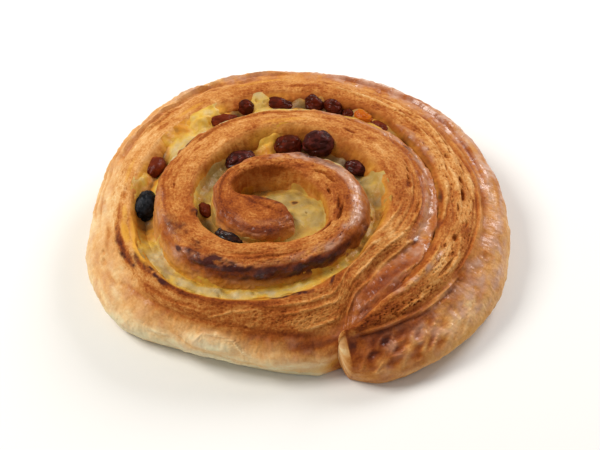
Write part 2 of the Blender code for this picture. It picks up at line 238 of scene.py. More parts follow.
def curved(corners, columns):
    """A closed curve through each section's corners, cut into the given number of steps after each corner.
    It is a centripetal Catmull-Rom curve: knots lie the square root of the distance apart, and a point is
    blended from straight lines through pairs of corners, then from those blends."""
    def between(t, ta, tb, a, b):
        return a + (b - a) * ((t - ta) / (tb - ta))

    count = corners.shape[1]
    spans = []
    for i, steps in enumerate(columns):
        a, b, c, d = (corners[:, (i + k) % count][:, None] for k in (-1, 0, 1, 2))
        gap = [np.sqrt(np.linalg.norm(q - p, axis=-1, keepdims=True)) + 1e-4 for p, q in ((a, b), (b, c), (c, d))]
        ta, tb, tc, td = 0, gap[0], gap[0] + gap[1], gap[0] + gap[1] + gap[2]
        t = tb + (tc - tb) * (np.arange(steps) / steps)[None, :, None]
        ab, bc, cd = between(t, ta, tb, a, b), between(t, tb, tc, b, c), between(t, tc, td, c, d)
        spans.append(between(t, tb, tc, between(t, ta, tc, ab, bc), between(t, tb, td, bc, cd)))
    return np.concatenate(spans, 1)


def noise(seed, *at):
    """Smooth random values from -1 to 1 over as many directions as are given: a random number at every whole
    place, blended in between."""
    size = 64
    table = np.random.default_rng(seed).uniform(-1, 1, (size,) * len(at))
    low = [np.floor(a).astype(int) for a in at]
    share = [eased(a - whole, 0, 1) for a, whole in zip(at, low)]
    total = 0
    for corner in np.ndindex(*(2,) * len(at)):
        weight = 1
        for side, t in zip(corner, share):
            weight = weight * (t if side else 1 - t)
        total = total + weight * table[tuple((whole + side) % size for whole, side in zip(low, corner))]
    return total


def rough(seed, layers, *at):
    """Noise in layers, each half as strong as the last and about twice as fine."""
    total = 0
    for layer in range(layers):
        total = total + noise(seed + layer, *(a * 2.1 ** layer for a in at)) * 0.5 ** layer
    return total


def pits(seed, x, y, share):
    """Round pits scattered one to a unit square, in that share of the squares: 1 in a pit's middle, 0 outside."""
    cell_x, cell_y = np.floor(x).astype(int), np.floor(y).astype(int)
    table = np.random.default_rng(seed).random((4, 64, 64))
    deepest = np.zeros(np.broadcast(x, y).shape)
    for dx, dy in np.ndindex(3, 3):
        cell = (cell_x + dx - 1) % 64, (cell_y + dy - 1) % 64
        place_x, place_y, width, chosen = (sheet[cell] for sheet in table)
        away = np.hypot(x - (cell_x + dx - 1) - place_x, y - (cell_y + dy - 1) - place_y)
        pit = 1 - eased(away, 0, 0.25 + 0.4 * width)
        deepest = np.maximum(deepest, pit * (chosen < share))
    return deepest


def patches(marks, along, across):
    """The marks added up. Each is (turn angle, place across, length, width, strength): an oval whose strength
    fades from its middle to its rim."""
    total = np.zeros(across.shape)
    for turn, place, length, width, strength in marks:
        middle = np.interp(turn, strip_angle, strip_along)
        near = np.abs(strip_along - middle) < length
        away = np.hypot((along[near] - middle) / (length / 2), (across[near] - place) / (width / 2))
        total[near] += strength * (1 - eased(away, 0.35, 1.0))
    return total


def by_turn(table, angle, place):
    """Looks up a table of (turn angle, value at the first place, value at the second, ...) for each vertex:
    smooth along the strip, and straight between places 0, 1, 2, ... across it."""
    values = np.stack([smooth(angle, table, 1 + k) for k in range(len(table[0]) - 1)], -1)
    place = np.clip(place, 0, values.shape[-1] - 1.001)
    whole = np.floor(place).astype(int)
    rows = np.arange(len(angle))[:, None]
    return values[rows, whole] + (values[rows, whole + 1] - values[rows, whole]) * (place - whole)


def grid_normals(points):
    """Unit normals of a closed grid, from the directions along it and round it."""
    along = np.gradient(points, axis=0)
    around = np.roll(points, -1, 1) - np.roll(points, 1, 1)
    normal = np.cross(along, around)
    return normal / (np.linalg.norm(normal, axis=-1, keepdims=True) + 1e-9)


def grid_piece(name, points, looks, uv, masks):
    """A closed mesh from sections of points: quads between neighbours, and a flat cap on each end. The masks
    are numbers kept at the vertices, and uv is the place along and across, in millimetres."""
    sections, around = points.shape[:2]
    index = np.arange(sections * around).reshape(sections, around)
    after = np.roll(index, -1, 1)
    quads = np.stack([index[:-1], index[1:], after[1:], after[:-1]], -1).reshape(-1, 4)
    faces = [*quads.tolist(), index[0].tolist(), index[-1][::-1].tolist()]
    mesh = bpy.data.meshes.new(name)
    mesh.from_pydata((points.reshape(-1, 3) * MM).tolist(), [], faces)
    flat = np.zeros(len(faces), bool)
    flat[-2:] = True
    mesh.attributes.new("sharp_face", "BOOLEAN", "FACE").data.foreach_set("value", flat)
    corner_vertex = np.empty(len(mesh.loops), int)
    mesh.loops.foreach_get("vertex_index", corner_vertex)
    mesh.uv_layers.new(name="strip").data.foreach_set("uv", uv.reshape(-1, 2)[corner_vertex].ravel())
    for mask, values in masks.items():
        layer = mesh.attributes.new(mask, "FLOAT", "POINT")
        layer.data.foreach_set("value", np.broadcast_to(values, points.shape[:2]).ravel())
    mesh.materials.append(looks)
    piece = bpy.data.objects.new(name, mesh)
    bpy.context.scene.collection.objects.link(piece)
    return piece


def traced(lines, along, across):
    """Lines drawn on the strip, as (width, height, [(turn angle, place across), ...]): how strongly each vertex
    lies on one, and the relief that this makes. A line wanders a little and fades out at both ends."""
    mark, rise = np.zeros(across.shape), np.zeros(across.shape)
    for width, height, route in lines:
        turns, places = np.array(route, float).T
        stops = np.interp(turns, strip_angle, strip_along)
        near = (strip_along > stops[0]) & (strip_along < stops[-1])
        here = along[near]
        path = np.interp(here, stops, places) + 0.35 * noise(9, here / 5, 0 * here + width)
        ends = eased(here, stops[0], stops[0] + 4) * (1 - eased(here, stops[-1] - 4, stops[-1]))
        line = np.exp(-((across[near] - path) / width) ** 2) * ends
        mark[near] = np.maximum(mark[near], line)
        rise[near] += height * line
    return mark, rise


def lips(lines, along, across):
    """Where one layer's edge lies over the next, as for traced lines: the relief rises sharply at the line and
    falls off gently on the side of the outer edge, and the line itself is marked just below the rise; that mark is
    used for painted shade under the step."""
    mark, rise = np.zeros(across.shape), np.zeros(across.shape)
    for width, height, route in lines:
        turns, places = np.array(route, float).T
        stops = np.interp(turns, strip_angle, strip_along)
        near = (strip_along > stops[0]) & (strip_along < stops[-1])
        here = along[near]
        path = np.interp(here, stops, places) + 0.5 * noise(10, here / 6, 0 * here + height)
        ends = eased(here, stops[0], stops[0] + 8) * (1 - eased(here, stops[-1] - 8, stops[-1]))
        below = path - across[near]
        rise[near] += height * ends * eased(below, -0.3, 0.3) * np.exp(-np.maximum(below, 0) / width)
        mark[near] = np.maximum(mark[near], ends * np.exp(-((below + 0.4) / 0.4) ** 2))
    return mark, rise


# The grid: sections evenly spaced along the strip, and columns round each section.
SECTIONS = 3100
COLUMNS = (3, 3, 9, 8, 8, 7, 6, 15, 15, 6, 6, 6, 3)
LENGTHS = 3  # the mesh is cut into this many pieces along the strip
OUTER_RIM, INNER_RIM = 6, 10  # the corners at the edges of the cut face
RIM_SOFTENING = 14  # times that the rims are smoothed
END_ROUNDING = (2.4, 0.9)  # of the cut end at the front, and of the tongue's tip
SHAPED_ENDS = 7  # sections that round each end off

rising = np.linspace(OUTER_END, TONGUE_TIP, 4000)
middle_line = (outer_edge(rising) + inner_edge(rising)) / 2
walked = np.append(0, np.cumsum(np.linalg.norm(np.diff(middle_line, axis=0), axis=1)))
strip_angle = np.interp(np.linspace(0, walked[-1], SECTIONS), walked, rising)
strip_along = np.linspace(0, walked[-1], SECTIONS)

strip = curved(strip_corners(strip_angle), COLUMNS)
zone = np.concatenate([i + np.arange(steps) / steps for i, steps in enumerate(COLUMNS)])
rims = np.flatnonzero(((zone > 4.5) & (zone < 7.6)) | ((zone > 9.2) & (zone < 11.2)))
for softening in range(RIM_SOFTENING):
    strip[:, rims] = (strip[:, rims - 1] + 2 * strip[:, rims] + strip[:, rims + 1]) / 4
walk = np.cumsum(np.linalg.norm(np.diff(strip, axis=1, prepend=strip[:, :1]), axis=-1), 1)
rim = int(np.argmin(np.abs(zone - OUTER_RIM)))
across = walk - walk[:, rim:rim + 1]
along = np.broadcast_to(strip_along[:, None], across.shape)
angle = np.broadcast_to(strip_angle[:, None], across.shape)
face_share = np.interp(zone, [6, 7, 8, 9, 10], [1, 0.86, 0.5, 0.14, 0])[None]
on_face = np.broadcast_to(eased(zone, 6.0, 7.0) * (1 - eased(zone, 9.0, 10.0)), across.shape)
on_skin = np.broadcast_to(eased(zone, 1.0, 2.0) * (1 - eased(zone, 5.6, 6.6)), across.shape)
on_inside = np.broadcast_to(eased(zone, 9.8, 10.6), across.shape)
turned_in = eased(angle, *SKIN_ENDS)
height_share = strip[..., 2] / smooth(strip_angle, OUTER_EDGE_HEIGHT)[:, None]

# Relief, in millimetres.
LAYERED = [  # how clearly the layers show on the cut face
    (-68, 0.5), (-45, 0.5), (-20, 0.8), (0, 1.2), (45, 1.0), (65, 0.5), (110, 0.35), (150, 0.2), (200, 0.3),
    (270, 0.4), (300, 0.35), (340, 0.5), (380, 0.6), (430, 0.35), (540, 0.3), (650, 0.4), (700, 0.6), (760, 0.5),
    (900, 0.3), (930, 0.12), (1003, 0.12),
]
SMOOTHED = [(-46, 10.5, 40, 6.5, 1.0), (318, -2, 44, 7, 1.0)]  # the smooth leaf of dough at the front right
# Slits and large pores in the cut face: (turn angle, place across, length, width, depth).
SLITS = [
    (20, 6.4, 2.6, 1.8, 1.0), (26.5, 3.2, 3, 1.2, 0.8), (22, 4.6, 3, 1.2, 0.8), (9, 5.7, 3.2, 1.7, 1.2),
    (2.6, 6.2, 5.4, 1.7, 1.2), (-3.4, 7.6, 4, 0.9, 0.8), (-15.9, 6.4, 2.8, 2.0, 1.1), (-20.6, 7.9, 2.2, 1.2, 0.7),
    (-22, 5.0, 2.4, 1.2, 0.6), (-28, 4.2, 9, 1.3, 0.9), (-28.5, 6.9, 6, 0.9, 0.6), (35, 4.4, 2.4, 1.0, 0.6),
    (364, 7.0, 3, 2.0, 0.5), (409, 9.1, 5, 1.6, 0.6), (415, 2.6, 4, 1.3, 0.4), (373, 5.8, 3.4, 1.0, 0.8),
    (368, 6.8, 2.4, 1.0, 0.6), (745, 6.4, 6, 1.2, 0.7), (733, 6.8, 4, 1.1, 0.7), (720, 9.4, 4, 1.2, 0.7),
    (702, 7.2, 8, 1.1, 0.8), (690, 6.0, 9, 1.2, 0.9), (668, 7.2, 8, 1.1, 0.8), (656, 7.8, 6, 1.0, 0.6),
    (450, 4.2, 3, 1.0, 0.4), (540, 5.0, 2, 1.0, 0.4), (60, 5.4, 3, 0.9, 0.5), (75, 3.0, 3, 0.9, 0.4),
    (166, 3.0, 3, 0.9, 0.4), (197, -3.4, 2.2, 1.6, 0.6), (200, -4.2, 3.0, 1.8, 0.7), (177, -1.6, 2.0, 1.4, 0.5),
    (15, 8.6, 4, 1.0, 0.6), (44, 6.6, 4, 0.9, 0.5), (126, -1.0, 1.2, 0.9, 0.5), (51, 3.6, 4, 0.9, 0.5),
    (32, 7.4, 5, 0.8, 0.5), (-9, 4.6, 4, 0.9, 0.5), (395, 5.4, 4, 0.8, 0.5), (352, 4.0, 5, 0.8, 0.5),
]
TORN = [  # torn, open crumb
    (-46, 3.0, 34, 4.6, 1.0), (-27, 6.2, 14, 3.2, 0.7), (278, 4.6, 24, 5.0, 0.5), (298, 3.0, 8, 4, 0.4),
    (332, 3.6, 12, 3.4, 0.5), (212, 0.6, 18, 3.0, 0.25), (236, 3.6, 18, 2.6, 0.25),
]
# Swellings: (turn angle, place across, length, width, height).
SWELLINGS = [
    (248, -3.6, 17, 6.0, 0.9), (270, -6.5, 18, 6, 0.5), (583, 1.2, 6, 3.2, 0.5), (592, 0.6, 7, 3.4, 0.5),
    (601, 1.6, 8, 4.2, 0.6), (612, 0.8, 6, 3.0, 0.4), (622, -2.0, 8, 4.4, 0.7), (630, -0.6, 5, 2.6, 0.4),
    (638, -2.4, 8, 4.4, 0.7), (647, 0.2, 5, 3.0, 0.5), (654, -1.2, 6, 3.4, 0.6), (663, -2.6, 6, 3.4, 0.4),
    (688, -3.0, 6, 3.4, 0.6), (209, -7.0, 12, 6, 0.5), (-52, -7.0, 12, 8, 0.4), (564, 10.2, 4.5, 2.4, 0.8),
    (196, 6.8, 16, 3.6, -1.2), (207, 8.6, 14, 3.4, -1.0), (178, 6.2, 10, 2.4, -0.8), (1000, 4.0, 5, 5, 0.3),
]
# Creases: (width, height, route).
CREASES = [
    (0.35, -0.80, [(96, -0.8), (112, -1.4), (128, -0.9), (144, -0.2), (160, -0.6)]),
    (0.35, -0.70, [(104, 1.0), (120, 0.4), (136, 0.8), (150, 0.2), (168, -0.4)]),
    (0.35, -0.70, [(140, -2.4), (156, -2.2), (172, -2.8), (190, -3.4)]),
    (0.35, -0.70, [(118, -3.2), (132, -2.8), (148, -4.0), (164, -4.2)]),
    (0.80, -0.45, [(206, -4.6), (213, -1.6), (223, 0.2), (235, 1.6), (245, 2.4), (255, 2.4), (268, 1.4), (290, -1.8)]),
    (0.45, -0.45, [(612, 3.4), (626, 3.2), (642, 3.0)]), (0.45, -0.40, [(598, 4.8), (615, 4.6), (628, 4.4)]),
    (0.40, -0.40, [(694, 8.4), (712, 8.0), (728, 8.6)]),
    (0.40, -0.45, [(330, 6.0), (345, 6.2), (362, 5.2), (385, 4.8)]),
    (0.40, -0.50, [(-15, 11.8), (-11, 11.2), (-3, 10.4), (5, 9.6), (14, 9.6)]),
    (0.45, -0.50, [(-14, -0.8), (-7, -1.0), (2, -1.0), (15, -1.0), (30, -0.6), (48, 0.2)]),
    (0.40, -0.45, [(-10, 3.0), (0, 2.6), (8, 4.2), (16, 3.2), (25, 1.6), (45, 1.2), (62, 0.8)]),
    (0.40, -0.45, [(-12, 8.6), (-2, 9.0), (8, 8.6), (18, 8.0), (30, 6.0), (46, 5.2)]),
    (0.35, -0.35, [(12, 6.2), (24, 7.6), (36, 8.6), (50, 8.0), (66, 7.0)]),
    (0.35, -0.30, [(26, 3.4), (44, 3.0), (60, 2.6), (80, 2.0)]),
    (0.50, -0.55, [(296, -2.6), (303, -6.0), (311, -7.2), (326, -7.6), (338, -6.0)]),
    (0.50, -0.70, [(936, 9.4), (952, 10.4), (970, 10.4), (982, 8.6), (991, 6.0), (996, 4.4)]), (0.40, -0.30, [(276, -6.0), (282, -8.0), (291, -11.0)]),
    (0.45, -0.35, [(232, -3.4), (242, -6.4), (262, -8.4), (280, -9.6)]),
    (0.40, -0.50, [(-67, -0.6), (-58, -0.6), (-50, -0.9), (-40, -1.8), (-31, -1.0), (-24, -0.8)]),
    (0.40, -0.30, [(484, 2.0), (500, 2.6), (520, 3.0), (540, 2.4)]), (0.35, -0.25, [(500, 5.0), (520, 5.4), (545, 4.8)]),
    (0.35, -0.25, [(400, 6.8), (420, 6.2), (440, 6.4), (462, 6.0)]),
]
# Threads of dough drawn out over the face.
THREADS = [
    (0.50, 0.45, [(292, -2.4), (296, 0.4), (302, 0.2), (310, -0.6), (321, 0.3), (333, 1.6), (339, 0.0)]),
    (0.45, 0.40, [(297, -2.0), (305, -4.8), (314, -5.6), (328, -5.4), (336, -2.6), (339, 0.4)]),
    (0.40, 0.35, [(256, 3.8), (260, 2.6), (264, 5.2)]), (0.40, 0.35, [(277, 1.6), (290, 2.4), (295, 1.6)]),
    (0.45, 0.35, [(268, 6.0), (278, 6.6), (290, 6.8), (297, 4.6)]),
    (0.45, 0.35, [(262, 8.4), (276, 8.8), (290, 9.0), (300, 6.6), (315, 6.0), (330, 7.2)]),
    (0.45, 0.35, [(300, 3.4), (314, 3.0), (330, 4.4), (345, 3.8), (360, 3.0)]),
    (0.45, 0.35, [(308, 8.8), (322, 9.0), (340, 9.4), (356, 8.6)]),
    (0.50, 0.50, [(-66, 0.6), (-58, 0.6), (-50, 0.2), (-40, -0.6), (-31, 0.2), (-25, 0.2)]),
    (0.80, 0.60, [(-64, 3.4), (-54, 6.4), (-45, 7.3), (-35, 8.0), (-27, 8.6)]),
    (0.45, 0.40, [(-36, 8.2), (-26, 8.8), (-18, 9.6)]), (0.40, 0.35, [(-30, 3.0), (-22, 3.4), (-12, 5.4)]),
    (0.40, 0.35, [(-52, 2.0), (-46, 2.8), (-38, 2.6)]), (0.40, 0.30, [(243, 2.6), (252, 6.0), (262, 7.2)]),
    (0.50, 0.40, [(-6, 0.6), (1, 0.8), (7, 1.4), (10, 2.9), (16, 5.0), (23, 5.2), (34, 3.6), (50, 2.2)]),
    (0.50, 0.40, [(-6, 6.4), (0, 7.3), (6, 7.4), (13, 7.4), (18, 9.4)]), (0.70, 0.50, [(-12, 12.2), (-6, 11.4), (2, 11.0), (10, 10.7)]),
    (0.45, 0.35, [(20, 8.6), (38, 7.6), (56, 6.4), (74, 5.6)]), (0.45, 0.35, [(34, 0.8), (52, 0.8), (70, 0.4)]),
    (0.45, 0.30, [(223, -7.3), (230, -6.6), (236, -5.7)]),
    (0.50, 0.60, [(241, -4.8), (244.5, -1.1), (250, -0.7), (255, -1.6), (258, -4.4), (264, -6.8)]),
]
LIPS = [
    (2.2, 0.80, [(84, -1.6), (102, -2.4), (113, -2.2), (124, -1.4), (131, -0.8), (142, -0.6), (154, -1.0), (166, -1.6)]),
    (2.0, 0.60, [(112, 0.0), (118, -2.4), (126, -3.4), (140, -3.0), (156, -3.2), (170, -3.4)]),
    (1.8, 0.50, [(122, 0.2), (131, 1.8), (139, 2.8), (150, 2.0)]), (1.6, 0.40, [(135, 2.6), (143, 2.2), (152, -1.0)]),
    (2.0, 0.50, [(5, -3.0), (30, -3.0), (55, -2.4), (78, -2.2)]), (1.8, 0.45, [(-30, 1.2), (-5, 1.2), (20, 1.0), (45, 0.6)]),
    (1.8, 0.40, [(340, 2.4), (370, 2.6), (400, 2.2)]), (1.8, 0.35, [(420, 1.6), (450, 2.4), (480, 1.8), (510, 2.2)]),
    (1.6, 0.50, [(488, 0.6), (500, 0.9), (512, 0.7)]), (1.6, 0.35, [(520, 0.8), (540, 1.4), (562, 2.4)]),
    (2.2, 0.45, [(214, 2.2), (230, 3.6), (246, 4.8)]), (2.0, 0.40, [(860, 2.0), (900, 2.4), (940, 2.0)]),
    (1.6, 0.50, [(150, -4.6), (168, -5.0), (186, -5.6)]), (1.6, 0.40, [(182, -0.6), (192, -1.4), (202, -2.4)]),
]
FOLDED = [(-58, -7, 24, 15, 1.0), (-40, -8, 30, 14, 0.7), (-20, -6, 30, 12, 0.4)]  # wrinkled skin


def dough_relief():
    """How far each vertex is pushed out, and the painted shade and light that go with that relief. The cut face is
    scored by wandering grooves where noise that is stretched along the strip passes zero; the skin swells and sinks
    softly and is wrinkled at its loose end; the rims are frayed. The traced lines, slits and swellings
    are added."""
    layered = on_face * smooth(strip_angle, LAYERED)[:, None] * (1 - patches(SMOOTHED, along, across))
    drift = 1.1 * noise(12, along / 22, across / 7) + 0.35 * noise(12, along / 5, across / 3)
    lines = noise(11, along / 9, across / 1.5 + drift)
    fine = noise(13, along / 5, across / 0.75 + drift)
    patchy = eased(noise(21, along / 6, across / 2), -0.4, 0.4)
    groove = np.exp(-(lines / 0.17) ** 2) * patchy * layered
    ridged = noise(16, along / 15, across / 2.2 + drift) * layered
    torn = patches(TORN, along, across)
    holes = torn * np.maximum(pits(22, along / 1.5, across / 1.0, 0.5), pits(26, along / 0.9, across / 0.7, 0.4))
    crumb = pits(14, along / 1.4, across / 0.8, 0.26) * on_face * (0.6 + layered)
    x, y, z = np.moveaxis(strip, -1, 0)
    swell = 0.42 * rough(15, 2, x / 9, y / 9, z / 9) + 0.14 * rough(17, 3, x / 2.2, y / 2.2, z / 2.2)
    fray = np.exp(-(across / 1.2) ** 2) * 0.25 * rough(19, 2, along / 2.2, across / 4)
    slant = along * 0.8 + across * 0.6, across * 0.8 - along * 0.6
    creased = 0.5 - np.abs(rough(23, 2, slant[0] / 5, slant[1] / 2.0))
    folded = patches(FOLDED, along, across) * creased
    blistered = turned_in * on_skin * 0.22 * rough(24, 2, along / 1.6, across / 1.6)
    wrinkled = on_skin * (1 - turned_in) * 0.12 * rough(27, 2, along / 1.1, across / 2.6)
    crease_mark, crease = traced(CREASES, along, across)
    thread_mark, thread = traced(THREADS, along, across)
    slit = patches(SLITS, along, across)
    lip_mark, lip = lips(LIPS, along, across)
    relief = swell + fray + 0.6 * folded + blistered + wrinkled + 0.7 * crease + thread + 1.8 * lip
    relief += patches(SWELLINGS, along, across) - slit - 0.16 * groove - 0.08 * layered * np.exp(-(fine / 0.2) ** 2)
    relief += 0.22 * ridged - 0.20 * crumb - 0.55 * holes
    # Painted shade and light that follow the relief: darker in creases, slits, grooves, crumb pits, torn holes and
    # just under the lips, paler on ridges and on the crests of wrinkles. It is also paler along the threads and over
    # the torn crumb.
    relief_shade_and_tone = 0.08 * crease_mark - 0.12 * thread_mark + 0.13 * slit + 0.05 * groove - 0.09 * ridged + 0.08 * crumb
    relief_shade_and_tone += 0.13 * holes - 0.05 * torn - 0.30 * folded + 0.18 * lip_mark
    return relief * eased(strip[..., 2], 0.0, 1.5), relief_shade_and_tone


relief, relief_shade_and_tone = dough_relief()
strip = strip + grid_normals(strip) * relief[..., None]
strip[..., 2] = np.maximum(strip[..., 2], 0)

# How strongly each place is baked, from 0, pale, over 0.5, golden brown, to 1, scorched.
SKIN_BAKE = [  # (turn angle, at the foot, at the belly, at the shoulder, at the edge)
    (-68, 0.30, 0.48, 0.70, 0.70), (-58, 0.28, 0.44, 0.68, 0.70), (-50, 0.26, 0.36, 0.55, 0.66),
    (-35, 0.22, 0.28, 0.38, 0.56), (-15, 0.22, 0.27, 0.36, 0.50), (25, 0.26, 0.30, 0.41, 0.52),
    (60, 0.30, 0.36, 0.49, 0.54), (90, 0.34, 0.34, 0.38, 0.42), (150, 0.20, 0.18, 0.21, 0.28), (190, 0.14, 0.14, 0.18, 0.26),
    (206, 0.10, 0.12, 0.24, 0.32), (215, 0.04, 0.07, 0.24, 0.42), (250, 0.00, 0.00, 0.18, 0.44),
    (275, 0.02, 0.07, 0.42, 0.56), (286, 0.06, 0.16, 0.44, 0.58), (289, 0.06, 0.12, 0.30, 0.50),
    (292, 0.06, 0.10, 0.26, 0.46),
]
WALL_BAKE = [  # the outer walls of the inner turns: (turn angle, at the custard, half way, at the edge)
    (292, 0.60, 0.58, 0.58), (305, 0.62, 0.62, 0.62), (332, 0.60, 0.60, 0.60), (345, 0.52, 0.54, 0.54),
    (360, 0.56, 0.50, 0.48), (400, 0.5, 0.5, 0.48), (450, 0.46, 0.46, 0.44), (500, 0.42, 0.48, 0.5),
    (530, 0.42, 0.50, 0.56), (550, 0.42, 0.48, 0.58), (575, 0.38, 0.48, 0.62), (592, 0.38, 0.60, 0.80),
    (620, 0.44, 0.70, 0.86), (650, 0.48, 0.76, 0.88), (675, 0.54, 0.72, 0.74), (695, 0.56, 0.66, 0.64),
    (725, 0.54, 0.56, 0.58), (760, 0.56, 0.6, 0.62), (860, 0.40, 0.48, 0.56), (920, 0.36, 0.46, 0.56),
    (980, 0.40, 0.52, 0.60), (1003, 0.42, 0.52, 0.6),
]
FACE_BAKE = [  # the cut face: (turn angle, at the outer edge, in the middle, at the inner edge)
    (-68, 0.66, 0.60, 0.58), (-50, 0.66, 0.62, 0.60), (-35, 0.56, 0.46, 0.60), (-15, 0.48, 0.40, 0.48),
    (10, 0.46, 0.42, 0.48), (35, 0.44, 0.42, 0.48), (60, 0.45, 0.43, 0.52), (95, 0.44, 0.46, 0.52),
    (130, 0.36, 0.42, 0.38), (160, 0.29, 0.34, 0.40), (190, 0.28, 0.32, 0.38), (205, 0.28, 0.36, 0.34),
    (215, 0.38, 0.42, 0.42), (235, 0.42, 0.44, 0.50), (260, 0.50, 0.51, 0.55), (290, 0.54, 0.54, 0.58),
    (310, 0.58, 0.50, 0.52), (335, 0.56, 0.46, 0.46), (370, 0.50, 0.48, 0.50), (400, 0.46, 0.44, 0.48),
    (440, 0.46, 0.42, 0.46), (480, 0.48, 0.43, 0.44), (530, 0.54, 0.44, 0.48), (565, 0.56, 0.50, 0.52),
    (600, 0.58, 0.48, 0.50), (640, 0.58, 0.50, 0.50), (670, 0.58, 0.52, 0.50), (710, 0.56, 0.54, 0.52),
    (760, 0.56, 0.56, 0.56), (840, 0.54, 0.52, 0.60), (890, 0.54, 0.52, 0.60), (930, 0.60, 0.60, 0.64),
    (1003, 0.66, 0.64, 0.66),
]
INSIDE_BAKE = [  # the inner walls: (turn angle, at the edge, half way, at the custard)
    (-68, 0.6, 0.6, 0.6), (30, 0.60, 0.66, 0.7), (60, 0.56, 0.64, 0.70), (95, 0.54, 0.62, 0.66),
    (130, 0.42, 0.46, 0.5), (180, 0.46, 0.5, 0.55), (230, 0.46, 0.46, 0.46), (290, 0.62, 0.6, 0.6),
    (340, 0.50, 0.54, 0.56), (420, 0.54, 0.62, 0.7), (480, 0.44, 0.6, 0.7), (600, 0.54, 0.56, 0.6),
    (700, 0.52, 0.52, 0.52), (760, 0.54, 0.50, 0.44), (820, 0.56, 0.48, 0.44), (880, 0.56, 0.50, 0.44),
    (940, 0.6, 0.56, 0.56), (1003, 0.58, 0.56, 0.56),
]
# How much custard has soaked in or smeared on, in the same places.
WALL_SOAK = [
    (292, 0, 0, 0), (360, 0.1, 0, 0), (400, 0.1, 0, 0), (450, 0.3, 0.05, 0), (500, 0.3, 0.05, 0),
    (560, 0.4, 0.05, 0), (575, 0.6, 0.05, 0), (600, 0.6, 0, 0), (630, 0.5, 0, 0), (655, 0.3, 0, 0),
    (690, 0.3, 0.1, 0), (720, 0.3, 0.2, 0.05), (800, 0.3, 0.1, 0), (1003, 0.4, 0.1, 0),
]
INSIDE_SOAK = [
    (-68, 0, 0, 0), (40, 0.1, 0.2, 0.3), (85, 0.2, 0.1, 0.1), (100, 0.4, 0.6, 0.5), (109, 0.1, 0.0, 0.0),
    (117, 0.5, 0.7, 0.4), (127, 0.8, 0.95, 0.9), (142, 0.6, 0.8, 0.9), (153, 0.15, 0.1, 0.2), (166, 0.7, 0.8, 0.8),
    (178, 0.2, 0.3, 0.4), (186, 0.6, 0.8, 0.8), (205, 0.9, 1.0, 1.0), (240, 0.8, 1.0, 1.0), (275, 0.6, 0.9, 1.0), (295, 0.2, 0.4, 0.5),
    (345, 0.4, 0.6, 0.6), (372, 0.4, 0.7, 0.7), (388, 0.1, 0.2, 0.2), (440, 0.2, 0.2, 0.2), (460, 0.4, 0.7, 0.8),
    (480, 0.2, 0.3, 0.3), (530, 0.2, 0.4, 0.5), (560, 0.4, 0.6, 0.7), (620, 0.4, 0.6, 0.7), (700, 0.5, 0.6, 0.6),
    (760, 0.1, 0.2, 0.5), (820, 0.0, 0.0, 0.3), (1003, 0.2, 0.4, 0.4),
]
# Marks: (turn angle, place across, length, width, strength).
SCORCHES = [  # dark purple-brown
    (612, -2.4, 14, 3.6, 0.55), (630, -3.0, 12, 3.6, 0.45), (646, -2.8, 16, 4, 0.55), (666, -1.4, 12, 4, 0.5),
    (193, 3.2, 6, 3.0, 0.35), (198, 2.6, 7, 3.4, 0.5), (203, 2.6, 6, 3.2, 0.55), (209, 4.6, 7, 4.6, 0.85),
    (215.5, 6.6, 5, 2.6, 0.8), (219, 7.0, 6, 2.6, 0.9), (224, 6.8, 5, 2.4, 0.95), (268, 11.2, 4, 1.8, 0.7),
    (272, 11.6, 5, 2.2, 0.85), (278, 12.0, 6, 2.2, 0.9), (283, 11.8, 5, 2.0, 0.6), (296, 10.8, 7, 2.0, 0.6),
    (303, 8.8, 6, 1.6, 0.4), (580, 0.2, 4, 2.2, 0.8), (585.6, 4.0, 5, 3.4, 0.75), (587, 1.6, 6, 2.6, 0.8),
    (593, 0.4, 8, 3.6, 1.0), (598, 1.6, 8, 5.6, 1.0), (604, 0.6, 8, 5.0, 1.0), (611, 0.2, 9, 3.6, 0.8),
    (623, -1.4, 8, 4.6, 0.9), (631, -0.4, 6, 2.2, 0.6), (639, -2.0, 8, 4.6, 0.9), (645, -1.0, 6, 3.0, 0.6),
    (650, -0.4, 7, 3.4, 0.8), (656, -1.6, 6, 3.4, 0.7), (672, -4.4, 6, 2.6, 0.7), (686, -3.4, 5, 4.2, 0.9),
    (-67, -2.6, 3, 3.4, 0.5), (-40, -1.8, 12, 2.0, 0.25), (-30, -1.2, 14, 2.4, 0.35), (-33, -3.2, 10, 4, 0.15),
    (337, 0.2, 5, 1.6, 0.5), (388, -0.4, 4, 2.0, 0.6), (384, 0.4, 14, 2.6, 0.3), (508, 0.6, 12, 1.4, 0.5),
    (776, 1.0, 8, 2.6, 0.5), (752, 1.8, 14, 4.0, 0.4), (566, 3.0, 12, 5.0, 0.45), (572, 5.0, 8, 4.0, 0.3),
    (985, 3.0, 12, 5.0, 0.2), (968, 12.8, 12, 2.2, 0.4), (980, 12.4, 8, 2.2, 0.4), (989, 10.4, 6, 2.2, 0.4), (318, -5.4, 20, 2.4, 0.15), (842, 0.6, 9, 2.0, 0.4),
    (495, 0.2, 7, 1.4, 0.5), (504, 0.0, 6, 1.6, 0.5), (562.5, 9.8, 3.6, 2.4, 1.0), (566, 10.8, 3.6, 2.2, 1.0),
]
